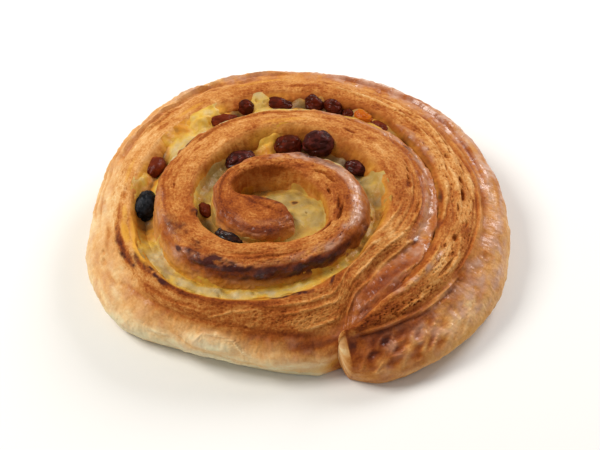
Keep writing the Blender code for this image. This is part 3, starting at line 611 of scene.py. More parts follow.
BROWNED = [  # a shade darker
    (186, 4.6, 12, 3.0, 0.20), (178, 5.4, 5, 2.4, 0.16), (140, 5.6, 7, 2.6, 0.18), (146, 4.8, 5, 2.0, 0.14),
    (195, 3.2, 16, 3.4, 0.26), (204, 3.4, 14, 3.6, 0.22), (214, 6.0, 12, 3.2, 0.22), (228, 6.8, 18, 3.0, 0.18),
    (244, 7.8, 18, 3.0, 0.12), (262, 9.5, 18, 3.4, 0.08), (-46, 10, 36, 4, 0.06),
    (-55, -2.6, 16, 7, 0.04), (-60, -3.4, 10, 5, 0.04), (-45, -2.4, 12, 3, 0.06), (364, 7.2, 4, 3.0, 0.18),
    (415, 2.6, 5, 2.0, 0.14), (409, 9.0, 5, 1.8, 0.14), (1, 12.8, 8, 2.2, 0.22), (84, 6.4, 10, 2.0, 0.16),
    (72, 2.8, 10, 2.6, 0.06), (232, 7.6, 18, 3.0, 0.12), (250, 9.0, 14, 2.6, 0.14), (238, 3.4, 16, 2.4, 0.08),
    (268, 0.8, 30, 2.6, 0.06), (280, -2.6, 18, 4.0, 0.10), (310, -3.6, 24, 5.0, 0.06), (690, 7.0, 12, 2.4, 0.14),
    (666, 7.4, 12, 2.0, 0.14), (612, 3.6, 24, 1.4, 0.10), (942, 2.0, 10, 4.0, 0.06), (972, 1.0, 16, 3.6, 0.12),
    (206, -4.4, 8, 1.6, 0.12), (20, -2.2, 26, 1.6, 0.08), (-12, 4.6, 8, 3.0, 0.06), (470, 8.6, 8, 2.4, 0.08),
]
PALER = [
    (247, -3.4, 16, 5.4, 0.14), (252, -8, 50, 5, 0.05), (279, -9, 24, 7, 0.10), (-66, 1.0, 3, 3, 0.16), (-24, 7.0, 12, 3, 0.10), (-30, 5.8, 6, 3, 0.08),
    (340, 6.5, 24, 4, 0.06), (120, -2.8, 30, 2.4, 0.10), (105, -2.8, 16, 2.4, 0.08), (15, -4.6, 50, 4, 0.05),
    (448, 1.4, 24, 3, 0.05), (282, 3.6, 16, 5, 0.04), (-58, -11, 14, 6, 0.08), (210, -5.0, 8, 5, 0.05),
]
YELLOWED = [
    (280, -11.0, 22, 4, 0.5), (262, -8.4, 14, 3, 0.2), (207, 7.2, 18, 3.2, 0.9), (196, 5.4, 12, 2.8, 0.9),
    (187, 6.2, 8, 2.0, 0.6), (224, 8.4, 12, 1.8, 0.7), (240, 9.8, 20, 1.6, 0.6), (166, 5.6, 14, 2.0, 0.4),
    (127, 6.4, 14, 2.4, 0.5), (448, 8.0, 20, 2.4, 0.35), (552, -2.0, 16, 2.4, 0.3), (-36, -14, 20, 5, 0.3),
    (100, 3.0, 20, 2.6, 0.3), (88, 2.2, 24, 2.2, 0.3),
]
# Glossy places: (turn angle, place across, length, width, strength). They set the coat and roughness, and the material
# also mixes a painted sheen, a pale mauve stand-in for reflected light, into their colour.
GLOSS_AND_PAINTED_SHEEN = [
    (640, -1.0, 90, 8, 0.2), (700, 2.0, 60, 5, 0.75), (742, 2.0, 50, 5, 0.7), (-56, -5, 26, 14, 0.1),
    (-24, -6, 50, 16, 0.6), (20, -5, 60, 12, 0.6), (55, -3, 60, 11, 0.8), (372, 1.0, 60, 6, 0.6),
    (565, 0, 40, 7, 0.3), (318, -4, 40, 9, 0.15), (870, 0, 60, 5, 0.25), (980, 2, 30, 6, 0.25),
    (-40, 7.6, 40, 2.4, 0.9), (335, -2, 14, 5, 0.8), (345, 0, 30, 3, 0.6), (28, 11.6, 26, 3.0, 0.7),
    (765, 2, 30, 5, 0.7), (110, -3, 60, 4, 0.5), (410, 1.0, 40, 4, 0.5), (599, 1, 16, 5, 0.6), (624, -1.5, 8, 4, 0.8),
]


def painted():
    """The masks that the dough's material reads: how far it is baked, scorched and yellowed, and how much it shines,
    which also sets a painted mauve reflection in its colour. The side is read from the skin's table on the outside
    turn and from the wall's further in; the cut face and the inner wall have tables of their own, and the marks are
    added, with the painted shade and light of the relief."""
    outside = by_turn(SKIN_BAKE, strip_angle, np.clip(height_share, 0, 1) * 3)
    level = smooth(strip_angle - FULL_TURN, GROOVE_FLOOR)[:, None]
    up_wall = (strip[..., 2] - level) / (smooth(strip_angle, OUTER_EDGE_HEIGHT)[:, None] - level)
    up_wall = np.clip(up_wall, 0, 1) * 2
    side = outside * (1 - turned_in) + by_turn(WALL_BAKE, strip_angle, up_wall) * turned_in
    over_face = np.broadcast_to((1 - face_share) * 2, across.shape)
    down_inside = np.broadcast_to(np.clip(zone - INNER_RIM, 0, 2), across.shape)
    to_face, to_inside = eased(zone, 5.6, 6.8)[None], eased(zone, 9.4, 10.4)[None]
    baked = side * (1 - to_face) + by_turn(FACE_BAKE, strip_angle, over_face) * to_face
    baked = baked * (1 - to_inside) + by_turn(INSIDE_BAKE, strip_angle, down_inside) * to_inside
    baked += patches(BROWNED, along, across) - patches(PALER, along, across)
    # The painted shade and light of the relief, held within bounds, and a random unevenness.
    baked += np.clip(relief_shade_and_tone, -0.22, 0.11) + 0.07 * rough(61, 3, along / 6, across / 3)
    baked += 0.08 * on_inside * rough(62, 2, along / 1.3, across / 6)

    soaked = by_turn(WALL_SOAK, strip_angle, up_wall) * turned_in * (1 - to_face)
    soaked = soaked + by_turn(INSIDE_SOAK, strip_angle, down_inside) * to_inside
    soaked = soaked * (0.8 + 0.7 * rough(63, 2, along / 4, across / 3)) + patches(YELLOWED, along, across)
    scorched = patches(SCORCHES, along, across) * (0.9 + 0.9 * rough(65, 3, along / 1.5, across / 1.3))
    # How glossy each place is: this sets the coat and roughness, and also how much painted sheen goes into the colour.
    gloss_and_sheen_share = patches(GLOSS_AND_PAINTED_SHEEN, along, across) + 0.2 * on_skin
    gloss_and_sheen_share = gloss_and_sheen_share * (0.75 + 0.9 * rough(66, 3, along / 3, across / 2))
    return baked, np.clip(scorched, 0, 1), np.clip(soaked, 0, 1), np.clip(gloss_and_sheen_share, 0, 1)


bake, scorch, soak, gloss_and_painted_sheen = painted()
END_BAKE = (0.20, 0.46)  # the cut end of the strip, at the front: in its middle and at its rim

DOUGH_TONES = [  # (how far baked, colour)
    (0.00, (0.76, 0.67, 0.42)), (0.14, (0.80, 0.57, 0.29)), (0.28, (0.70, 0.38, 0.14)),
    (0.42, (0.54, 0.22, 0.050)), (0.56, (0.36, 0.094, 0.013)), (0.70, (0.21, 0.040, 0.004)),
    (0.85, (0.09, 0.015, 0.004)), (1.00, (0.03, 0.006, 0.003)),
]
SCORCH_TONE = (0.060, 0.012, 0.008)
SOAK_TONE = (0.66, 0.32, 0.035)
PAINTED_SHEEN_TONE = (0.56, 0.31, 0.20)  # painted sheen: a pale mauve mixed into the colour where the egg-washed crust is glossy, standing in for reflected light


def new_material(name):
    """An empty node material, with a function that adds a node, sets its inputs and links what is a socket."""
    made = bpy.data.materials.new(name)
    made.use_nodes = True
    tree = made.node_tree
    tree.nodes.clear()
    return made, node_adder(tree)


def node_adder(tree):
    """A function that adds a node of a kind to this tree, with settings and inputs by name or number."""
    def add(kind, inputs=None, **settings):
        node = tree.nodes.new(kind)
        for key, value in settings.items():
            setattr(node, key, value)
        for key, value in (inputs or {}).items():
            if isinstance(value, bpy.types.NodeSocket):
                tree.links.new(value, node.inputs[key])
            else:
                node.inputs[key].default_value = value
        return node
    return add


def ramp(add, factor, tones):
    """Colours by a factor, straight between the given (position, colour) stops."""
    node = add("ShaderNodeValToRGB", {"Fac": factor})
    stops = node.color_ramp.elements
    for position, colour in tones[1:-1]:
        stops.new(position)
    for stop, (position, colour) in zip(stops, tones):
        stop.position = position
        stop.color = (*colour, 1)
    return node.outputs["Color"]


def mottling_group():
    """Two noises on the piece itself, as a node group: soft clouds and a fine grain, each at its own scale."""
    group = bpy.data.node_groups.new("mottling", "ShaderNodeTree")
    for name in ("Cloud Scale", "Grain Scale"):
        group.interface.new_socket(name, in_out="INPUT", socket_type="NodeSocketFloat")
    for name in ("Cloud", "Grain"):
        group.interface.new_socket(name, in_out="OUTPUT", socket_type="NodeSocketFloat")
    add = node_adder(group)
    given = add("NodeGroupInput").outputs
    where = add("ShaderNodeTexCoord").outputs["Object"]
    cloud = add("ShaderNodeTexNoise", {"Vector": where, "Scale": given["Cloud Scale"], "Detail": 4.0})
    grain = add("ShaderNodeTexNoise", {
        "Vector": where, "Scale": given["Grain Scale"], "Detail": 4.0, "Roughness": 0.65,
    })
    add("NodeGroupOutput", {"Cloud": cloud.outputs["Fac"], "Grain": grain.outputs["Fac"]})
    return group


mottling = mottling_group()


def mottled(add, cloud_scale, grain_scale):
    """The mottling group placed in a material: its cloud and its grain."""
    node = add("ShaderNodeGroup", node_tree=mottling)
    node.inputs["Cloud Scale"].default_value = cloud_scale
    node.inputs["Grain Scale"].default_value = grain_scale
    return node.outputs["Cloud"], node.outputs["Grain"]


def dough_material():
    """Baked dough: the bake mask, made uneven by streaks and blotches, chooses the crust's colour."""
    made, add = new_material("baked_dough")

    def mask(name):
        return add("ShaderNodeAttribute", attribute_name=name).outputs["Fac"]

    def times_plus(value, factor, rest):
        return add("ShaderNodeMath", {0: value, 1: factor, 2: rest}, operation="MULTIPLY_ADD").outputs[0]

    def toned(colour, amount, tone):
        return add("ShaderNodeMix", {0: amount, 6: colour, 7: (*tone, 1)}, data_type="RGBA").outputs[2]

    uv = add("ShaderNodeUVMap", uv_map="strip").outputs["UV"]
    stretched = add("ShaderNodeMapping", {"Vector": uv, "Scale": (0.36, 2.2, 1)}).outputs["Vector"]
    streaks = add("ShaderNodeTexNoise", {
        "Vector": stretched, "Scale": 1.0, "Detail": 6.0, "Roughness": 0.62,
    }).outputs["Fac"]
    blotch, grain = mottled(add, 330.0, 1500.0)

    face = mask("cut_face")
    uneven = times_plus(add("ShaderNodeMath", {0: streaks, 1: 0.5}, operation="SUBTRACT").outputs[0],
                        times_plus(face, 0.16, 0.10), mask("bake"))
    uneven = times_plus(blotch, 0.26, uneven)
    uneven = times_plus(add("ShaderNodeMath", {0: grain, 1: 0.5}, operation="SUBTRACT").outputs[0],
                        times_plus(face, 0.26, 0.22), uneven)
    uneven = add("ShaderNodeMath", {0: uneven, 1: 0.13}, operation="SUBTRACT").outputs[0]
    colour = ramp(add, uneven, DOUGH_TONES)
    colour = toned(colour, mask("soak"), SOAK_TONE)
    # Painted sheen: where the crust is glossy, in cloudy patches and fading out where the bake is dark, the colour is
    # mixed towards a pale mauve that stands in for reflected light. The same mask sets roughness and coat.
    gloss_and_sheen_mask = mask("gloss_and_painted_sheen")
    painted_light_share = add("ShaderNodeMapRange", {"Value": blotch, "From Min": 0.36, "From Max": 0.60}).outputs["Result"]
    light = add("ShaderNodeMapRange", {"Value": mask("bake"), "From Min": 0.72, "From Max": 0.56}).outputs["Result"]
    painted_light_share = add("ShaderNodeMath", {0: painted_light_share, 1: light}, operation="MULTIPLY").outputs[0]
    painted_sheen = times_plus(add("ShaderNodeMath", {0: painted_light_share, 1: gloss_and_sheen_mask}, operation="MULTIPLY").outputs[0], 0.95, 0.0)
    colour = toned(colour, painted_sheen, PAINTED_SHEEN_TONE)
    colour = toned(colour, mask("scorch"), SCORCH_TONE)

    height = times_plus(streaks, face, 0.0)
    height = times_plus(grain, 0.8, height)
    bump = add("ShaderNodeBump", {"Height": height, "Strength": 0.7, "Distance": 0.0004}).outputs["Normal"]
    roughness = add("ShaderNodeMapRange", {"Value": gloss_and_sheen_mask, "To Min": 0.6, "To Max": 0.34}).outputs["Result"]
    coat = times_plus(gloss_and_sheen_mask, 0.75, 0.0)
    shader = add("ShaderNodeBsdfPrincipled", {
        "Base Color": colour, "Roughness": roughness, "Normal": bump, "Specular IOR Level": 0.10,
        "Coat Weight": coat, "Coat Roughness": 0.17,
    })
    add("ShaderNodeOutputMaterial", {"Surface": shader.outputs[0]})
    return made


def rounded_ends(points, values):
    """Sections that close each end: the last one drawn in towards its middle while it steps outwards along
    a quarter circle. The other values of the end sections are repeated."""
    share = np.linspace(0, 1, SHAPED_ENDS + 1)[1:]
    closed, repeated = [points], [values]
    for end, before, rounding in ((0, 2, END_ROUNDING[0]), (-1, -3, END_ROUNDING[1])):
        last = points[end]
        middle = last.mean(0)
        outwards = middle - points[before].mean(0)
        outwards[2] = 0
        outwards *= rounding / np.linalg.norm(outwards)
        size = np.sqrt(1 - (share * 0.995) ** 2) * 0.97 + 0.02
        rows = middle + (last - middle)[None] * size[:, None, None] + outwards * share[:, None, None]
        rows[..., 2] = np.maximum(rows[..., 2], 0)
        copies = [np.repeat(value[end][None], SHAPED_ENDS, 0) for value in values]
        if end == 0:
            closed.insert(0, rows[::-1])
            repeated.insert(0, copies)
        else:
            closed.append(rows)
            repeated.append(copies)
    return np.concatenate(closed), [np.concatenate(parts) for parts in zip(*repeated)]


strip, (bake, scorch, soak, gloss_and_painted_sheen, cut, uv_along, uv_across) = rounded_ends(
    strip, [bake, scorch, soak, gloss_and_painted_sheen, on_face, along, across]
)
bake[:SHAPED_ENDS] = np.linspace(*END_BAKE, SHAPED_ENDS)[:, None] + 0.12 * noise(68, uv_across[:SHAPED_ENDS] / 1.2)
scorch[:SHAPED_ENDS] = 0
looks = dough_material()
dough_uv = np.stack([uv_along, uv_across], -1)
cuts = np.linspace(0, len(strip) - 1, LENGTHS + 1).astype(int)
for name, start, end in zip(("outer_roll", "middle_roll", "inner_roll"), cuts, cuts[1:] + 1):
    masks = {"bake": bake, "scorch": scorch, "soak": soak, "gloss_and_painted_sheen": gloss_and_painted_sheen, "cut_face": cut}
    masks = {mask: values[start:end] for mask, values in masks.items()}
    dough = grid_piece(name, strip[start:end], looks, dough_uv[start:end], masks)
    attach(dough, "root")
    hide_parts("dough")

# ---------------------------------------------------------------------------------------------------
# The custard. Thick vanilla custard, spread on the dough before it was rolled. It fills the groove
# between the turns, has set in soft lumps, and is browned where it meets the crust.
# ---------------------------------------------------------------------------------------------------

CUSTARD_START = 36.0
HAIRPIN = 905.0  # turn angle where the strip folds back as the tongue
CUSTARD_BASE = 0.4
UNDER_THE_EDGE = 0.8  # how far the custard's sides run in under the edges of the cut faces
CUSTARD_SECTIONS = 1300
CUSTARD_COLUMNS = 60
SLOPE_PLACES = (0, 0.5, 1, 3, 3.5, 4)  # where the bare groove's corners lie on the way across
# How deep the custard lies on the bare groove; below 0 it is hidden in the dough. (turn angle, at the
# outer turn's edge, at the foot of its slope, midway, at the foot of the inner turn's slope, at its edge)
CUSTARD_DEPTH = [
    (36, -1.0, -0.4, -0.4, -0.4, -1.0), (48, -0.8, 0.2, -0.2, 0.4, -0.8), (58, -0.8, 0.4, -0.6, 0.6, -0.6),
    (66, -1.2, -1.6, -2.6, -0.2, -0.8), (74, -0.6, 0.6, -1.2, 0.6, -0.6), (84, -0.8, 0.2, -1.0, 0.8, -0.2),
    (92, -0.6, 0.6, -0.8, 1.0, 0.1), (100, 0.5, 1.6, 0.2, 1.2, 0.2), (106, -1.2, -0.6, -1.4, 0.8, 0.2),
    (112, -1.0, -0.4, -1.2, 0.9, 0.2), (117, 0.4, 1.0, -1.0, 0.8, 0.2), (122, 0.5, 1.4, -0.8, 0.8, 0.1),
    (128, 0.6, 2.4, 0.8, 0.9, 0.0), (136, 0.3, 1.6, 1.2, 1.4, 0.1), (146, 0.2, 1.2, 1.0, 1.4, 0.1),
    (151, -0.8, -0.4, -0.6, 1.6, 0.1), (157, -1.0, -1.2, -2.0, 1.2, 0.1), (164, 0.2, 0.8, -1.0, 1.2, 0.0),
    (170, 0.5, 1.6, -0.6, 1.2, -0.4), (176, 0.3, 1.0, -0.4, 0.9, -0.8), (184, -1.0, 0.4, -1.4, 0.0, -1.6),
    (190, -1.2, 0.0, -3.0, -1.0, -1.4), (198, -1.2, 0.6, -1.4, -0.4, -1.8), (208, -1.2, 0.8, -0.2, -0.4, -2.2),
    (220, -1.2, 0.8, 0.2, -0.6, -3.4), (245, -1.2, 0.6, 0.2, -0.6, -4.0), (275, -1.2, 0.6, 0.1, -0.6, -4.0),
    (295, -0.6, 0.4, 0.0, 0.2, -2.4), (320, -0.8, 0.2, 0.0, 0.2, -2.0), (340, -0.6, 0.4, 0.0, 0.3, -1.4),
    (358, 0.0, 1.0, 0.2, 0.6, -0.9), (368, 0.3, 2.6, 1.6, 1.4, -0.2), (376, 0.0, 1.8, 0.6, 1.6, 0.0),
    (383, -1.0, -1.2, -2.4, 1.6, 0.2), (394, -1.0, -0.8, -2.0, 1.4, 0.2), (404, -0.8, 0.0, -1.2, 0.8, -0.4),
    (420, -0.6, 0.4, -1.0, 0.6, -0.6), (445, 0.1, 0.8, -0.6, 0.8, -0.4), (462, 0.2, 1.4, 0.2, 1.2, 0.0),
    (474, -0.6, 0.0, -1.0, 0.6, -0.6), (490, -0.8, 0.4, -0.6, 0.6, -0.4), (505, -0.4, 0.8, -0.2, 0.6, -0.4),
    (525, -0.2, 1.0, 0.0, 1.0, 0.0), (548, 0.1, 1.6, 0.8, 1.2, -0.2), (562, -0.4, 0.4, -1.0, 0.2, -0.8),
    (575, -0.8, 0.0, -1.6, 0.0, -1.6), (600, -0.4, 0.6, -0.4, 0.2, -1.8), (640, -0.3, 0.6, 0.0, 0.2, -1.8),
    (680, -0.6, 0.4, 0.2, 0.2, -1.4), (720, -0.9, 0.3, 0.3, 0.2, -1.4), (760, -1.6, -0.6, -0.2, 0.2, -1.4),
    (800, -1.8, -1.4, -0.6, 0.2, -1.4), (883, -2.4, -2.0, -1.0, -1.0, -1.8),
]
# Its tone in the same places: 0 is pale, 0.3 yellow, 0.55 orange, 0.75 olive brown and 1 the near black of painted
# shade in a hollow.
CUSTARD_TONE = [
    (36, 0.5, 0.50, 0.60, 0.40, 0.5), (48, 0.5, 0.55, 0.60, 0.30, 0.4), (60, 0.5, 0.60, 0.75, 0.30, 0.3),
    (66, 0.9, 0.95, 1.00, 0.50, 0.3), (76, 0.6, 0.70, 0.90, 0.30, 0.2), (92, 0.5, 0.60, 0.80, 0.15, 0.1),
    (100, 0.2, 0.20, 0.30, 0.10, 0.1), (106, 0.6, 0.80, 0.95, 0.15, 0.1), (112, 0.5, 0.60, 0.90, 0.15, 0.1),
    (117, 0.25, 0.35, 0.60, 0.12, 0.1), (122, 0.3, 0.30, 0.30, 0.05, 0.1), (128, 0.4, 0.30, 0.18, 0.04, 0.1),
    (136, 0.5, 0.42, 0.14, 0.00, 0.1), (146, 0.5, 0.50, 0.14, 0.00, 0.1), (151, 0.7, 0.80, 0.30, 0.00, 0.1),
    (157, 0.7, 0.95, 1.00, 0.10, 0.1), (164, 0.4, 0.40, 0.90, 0.10, 0.1), (170, 0.35, 0.30, 0.70, 0.10, 0.2),
    (176, 0.5, 0.50, 0.60, 0.15, 0.4), (184, 0.5, 0.50, 0.90, 0.50, 0.6), (190, 0.35, 0.50, 0.75, 0.70, 0.6),
    (198, 0.20, 0.20, 0.45, 0.45, 0.5), (208, 0.3, 0.20, 0.15, 0.15, 0.4), (222, 0.4, 0.25, 0.08, 0.34, 0.4),
    (245, 0.5, 0.30, 0.06, 0.42, 0.5), (275, 0.5, 0.35, 0.12, 0.44, 0.5), (295, 0.5, 0.40, 0.30, 0.45, 0.5),
    (345, 0.5, 0.50, 0.50, 0.45, 0.5), (360, 0.5, 0.50, 0.40, 0.45, 0.5), (368, 0.4, 0.28, 0.25, 0.15, 0.3),
    (376, 0.4, 0.30, 0.20, 0.05, 0.1), (383, 0.8, 0.90, 1.00, 0.10, 0.1), (395, 0.8, 0.90, 0.95, 0.10, 0.1),
    (410, 0.6, 0.70, 0.80, 0.15, 0.3), (445, 0.5, 0.55, 0.85, 0.20, 0.3), (462, 0.38, 0.42, 0.46, 0.14, 0.2),
    (476, 0.5, 0.60, 0.90, 0.40, 0.4), (500, 0.6, 0.70, 0.75, 0.50, 0.4), (525, 0.4, 0.55, 0.70, 0.25, 0.2),
    (550, 0.3, 0.35, 0.45, 0.30, 0.3), (566, 0.4, 0.60, 0.90, 0.50, 0.5), (600, 0.5, 0.45, 0.60, 0.40, 0.4),
    (640, 0.4, 0.35, 0.40, 0.40, 0.4), (680, 0.35, 0.25, 0.20, 0.30, 0.3), (720, 0.35, 0.30, 0.20, 0.30, 0.4),
    (770, 0.5, 0.40, 0.15, 0.40, 0.5), (800, 0.6, 0.60, 0.40, 0.60, 0.6), (825, 0.6, 0.68, 0.66, 0.68, 0.7),
    (883, 0.6, 0.68, 0.68, 0.68, 0.7),
]
CUSTARD_SPOTS = [(-1.2, -7.6, 1.5, 0.9), (-1.9, -6.6, 1.0, 0.5), (3.4, -3.8, 2.0, 0.15)]  # (x, y, radius, darker)
# Painted shade: how far it is greyed and darkened towards a dark olive, standing in for shade: (turn angle, at the
# outer turn's edge, midway, at the inner turn's edge)
CUSTARD_PAINTED_SHADE = [
    (36, 0.2, 0.3, 0.3), (92, 0.2, 0.3, 0.3), (112, 0.1, 0.3, 0.4), (127, 0.0, 0.1, 0.4), (142, 0.1, 0.4, 0.5),
    (160, 0.1, 0.3, 0.3), (205, 0.2, 0.1, 0.1), (245, 0.1, 0.2, 0.0), (290, 0.2, 0.3, 0.0), (345, 0.4, 0.4, 0.4),
    (370, 0.6, 0.8, 0.6), (390, 0.4, 0.6, 0.5), (445, 0.1, 0.4, 0.3), (462, 0.0, 0.0, 0.2), (490, 0.5, 0.7, 0.5),
    (525, 0.7, 0.8, 0.6), (550, 0.3, 0.4, 0.5), (575, 0.5, 0.7, 0.6), (600, 0.5, 0.6, 0.6), (650, 0.5, 0.5, 0.5),
    (690, 0.5, 0.7, 0.7), (730, 0.2, 0.8, 0.7), (780, 0.4, 0.8, 0.7), (815, 0.0, 0.2, 0.2), (883, 0.0, 0.0, 0.0),
]


def past_the_tip():
    """A step in plan past the tongue's end, the way the tongue points."""
    ends = np.array([TONGUE_TIP - 5, TONGUE_TIP])
    before, tip = (outer_edge(ends) + inner_edge(ends)) / 2
    return (tip - before) / np.linalg.norm(tip - before) * 0.8


def bare_groove():
    """The corners of the bare groove, section by section: edge, slope and foot on its far side, then foot,
    slope and edge on its near side. It starts where the groove opens and goes on round the tongue's tip,
    where the far side is the inner edge and the near side runs back along the tongue."""
    groove = np.linspace(CUSTARD_START, TONGUE_START - 14, CUSTARD_SECTIONS - 200)
    heart = np.linspace(TONGUE_START + 6, HAIRPIN - 22, 200)
    tongue = TONGUE_TIP - (TONGUE_TIP - HAIRPIN - 10) * eased(heart, TONGUE_START + 20, HAIRPIN) ** 0.8
    at_tip = 1 - eased(TONGUE_TIP - tongue, 0, 12)
    turn = np.concatenate([groove, heart])
    floor, far_height = smooth(turn, GROOVE_FLOOR), smooth(turn, INNER_EDGE_HEIGHT) - 0.35
    far_edge, far_foot = inner_edge(turn), inner_wall(turn)
    shift = at_tip[:, None] * past_the_tip()
    near_foot = np.concatenate([outer_wall(groove + FULL_TURN), inner_wall(tongue) + shift])
    near_edge = np.concatenate([outer_edge(groove + FULL_TURN), inner_edge(tongue) + shift])
    near_height = np.concatenate([smooth(groove + FULL_TURN, OUTER_EDGE_HEIGHT), smooth(tongue, INNER_EDGE_HEIGHT)])
    near_height[len(groove):] += at_tip * (floor[len(groove):] - near_height[len(groove):])
    across = near_foot - far_foot
    across = across / np.linalg.norm(across, axis=-1, keepdims=True) * UNDER_THE_EDGE
    corners = [
        (far_edge - across, far_height), (far_edge + (far_foot - far_edge) * 0.6, floor + (far_height - floor) * 0.45),
        (far_foot, floor), (near_foot, floor),
        (near_edge + (near_foot - near_edge) * 0.45, floor + (near_height - floor) * 0.65),
        (near_edge + across, near_height - 0.35),
    ]
    return turn, np.stack([np.column_stack([plan, height]) for plan, height in corners], 1)


turn, groove_corners = bare_groove()
place = np.linspace(0, 4, CUSTARD_COLUMNS)
corner = np.interp(place, SLOPE_PLACES, range(len(SLOPE_PLACES)))
before = np.minimum(corner.astype(int), len(SLOPE_PLACES) - 2)
blend = (corner - before)[:, None]
surface = groove_corners[:, before] * (1 - blend) + groove_corners[:, before + 1] * blend
x, y = surface[..., 0], surface[..., 1]
depth = by_turn(CUSTARD_DEPTH, turn, np.broadcast_to(place, x.shape))
on_near_slope = eased(place, 2.6, 3.2)
lumps = 0.55 * rough(31, 2, x / 3.2, y / 3.2) + 0.06 * rough(35, 2, x / 1.1, y / 1.1)
lumps = lumps * (1 - 0.7 * on_near_slope)
holes = pits(34, x / 1.8, y / 1.8, 0.06) * 0.5
surface[..., 2] += np.where(depth > 0, depth * (1 + 0.5 * rough(36, 2, x / 4, y / 4)), depth) + lumps - holes
bottom = surface[:, [-1, 0]] * 1.0
bottom[..., 2] = CUSTARD_BASE
custard_points = np.concatenate([surface, bottom], 1)

# The last stop, near black, is the painted shade of the hollows.
CUSTARD_TONES = [
    (0.0, (0.62, 0.49, 0.26)), (0.3, (0.66, 0.41, 0.060)), (0.55, (0.56, 0.22, 0.014)),
    (0.75, (0.28, 0.12, 0.025)), (1.0, (0.07, 0.014, 0.005)),
]
# Painted shade: the dark grey olive that the custard's shade mask mixes towards.
CUSTARD_SHADE_TONE = (0.30, 0.20, 0.065)


def custard_material():
    """Set custard: pale to browned by its own mask and noise and nearly black in its hollows as painted shade, greyed
    by a second mask of painted shade, moist, a little see-through.
    """
    made, add = new_material("custard")
    tone = add("ShaderNodeAttribute", attribute_name="brown_and_hollow_shade").outputs["Fac"]
    cloud, grain = mottled(add, 300.0, 900.0)
    mixed = add("ShaderNodeMath", {0: cloud, 1: 0.3, 2: tone}, operation="MULTIPLY_ADD").outputs[0]
    mixed = add("ShaderNodeMath", {0: mixed, 1: 0.15}, operation="SUBTRACT").outputs[0]
    colour = ramp(add, mixed, CUSTARD_TONES)
    # Painted shade: the colour is mixed towards a dark grey olive by the shade mask.
    painted_light_share = add("ShaderNodeAttribute", attribute_name="painted_light_share").outputs["Fac"]
    colour = add("ShaderNodeMix", {0: painted_light_share, 6: colour, 7: (*CUSTARD_SHADE_TONE, 1)}, data_type="RGBA").outputs[2]
    bump = add("ShaderNodeBump", {"Height": grain, "Strength": 0.4, "Distance": 0.0005}).outputs["Normal"]
    shader = add("ShaderNodeBsdfPrincipled", {
        "Base Color": colour, "Roughness": 0.36, "Normal": bump, "Specular IOR Level": 0.2,
        "Subsurface Weight": 0.15, "Subsurface Radius": (0.004, 0.0025, 0.001),
    })
    add("ShaderNodeOutputMaterial", {"Surface": shader.outputs[0]})
    return made


brown_and_hollow_shade = by_turn(CUSTARD_TONE, turn, np.broadcast_to(place, x.shape))
spotted = np.zeros(x.shape)
for spot_x, spot_y, width, darker in CUSTARD_SPOTS:
    spotted += darker * (1 - eased(np.hypot(x - spot_x, y - spot_y), width * 0.3, width))
# The pits are darkened a little as painted shade; the spots and the noise vary the tone.
brown_and_hollow_shade = brown_and_hollow_shade + spotted + 0.14 * rough(41, 3, x / 2.4, y / 2.4) + 0.15 * holes
brown_and_hollow_shade = np.concatenate([brown_and_hollow_shade, brown_and_hollow_shade[:, [-1, 0]]], 1)
custard_uv = np.stack(np.broadcast_arrays(turn[:, None], np.arange(custard_points.shape[1])[None]), -1) * 1.0
# Painted shade: from its table and noise, less on the spots.
painted_light_share = by_turn(CUSTARD_PAINTED_SHADE, turn, np.broadcast_to(place / 2, x.shape)) + 0.25 * rough(45, 2, x / 2.6, y / 2.6) - spotted
painted_light_share = np.clip(np.concatenate([painted_light_share, painted_light_share[:, [-1, 0]]], 1), 0, 1)
custard = grid_piece("set_custard", custard_points, custard_material(), custard_uv, {"brown_and_hollow_shade": brown_and_hollow_shade, "painted_light_share": painted_light_share})
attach(custard, "root")
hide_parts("custard")

# ---------------------------------------------------------------------------------------------------
# The raisins. Dried grapes, scattered on the custard before the dough was rolled. Most are plump and
# glossy after baking, one on the left stood proud and burnt black, and one is a translucent amber.
# ---------------------------------------------------------------------------------------------------

RAISINS = [  # (name, length, width, depth, heading, kind)
    ("raisin_black_left", 9.6, 7.2, 7.4, 80, "burnt"),
    ("raisin_far_left", 8.2, 5.4, 5.4, 72, "red"),
    ("raisin_long", 9.6, 4.8, 4.2, 14, "red"),
    ("raisin_upright", 5.0, 4.4, 6.0, 20, "dark"),
    ("raisin_rear", 9.4, 5.2, 5.0, 4, "dark"),
    ("raisin_rear_right", 6.0, 5.4, 6.0, 160, "dark"),
    ("raisin_rear_pair", 6.4, 4.6, 6.2, 150, "dark"),
    ("raisin_dark_chip", 4.2, 4.2, 4.2, 60, "dark"),
    ("raisin_amber", 6.6, 4.6, 4.4, 150, "amber"),
    ("raisin_red", 7.0, 3.8, 3.8, 142, "red"),
    ("raisin_twin_dark", 7.8, 7.0, 7.0, 10, "dark"),
    ("raisin_twin_big", 9.6, 7.8, 7.8, 20, "purple"),
    ("raisin_purple", 9.6, 6.0, 6.0, 28, "purple"),
    ("raisin_hidden_right", 7.0, 4.6, 4.4, 150, "purple"),
    ("raisin_left_sliver", 6.0, 4.0, 4.0, 120, "red"),
    ("raisin_front_left", 9.0, 4.6, 5.4, 152, "singed"),
]
RAISIN_KINDS = {  # (skin colour, colour in the light, roughness, coat)
    "singed": ((0.008, 0.008, 0.010), (0.10, 0.030, 0.014), 0.4, 0.25),
    "burnt": ((0.006, 0.007, 0.009), (0.035, 0.038, 0.046), 0.45, 0.05),
    "dark": ((0.050, 0.006, 0.001), (0.14, 0.014, 0.003), 0.5, 0.12),
    "purple": ((0.035, 0.005, 0.003), (0.14, 0.022, 0.014), 0.5, 0.15),
    "red": ((0.11, 0.014, 0.003), (0.22, 0.036, 0.008), 0.5, 0.10),
    "amber": ((0.42, 0.085, 0.003), (0.58, 0.17, 0.006), 0.3, 0.2),
}
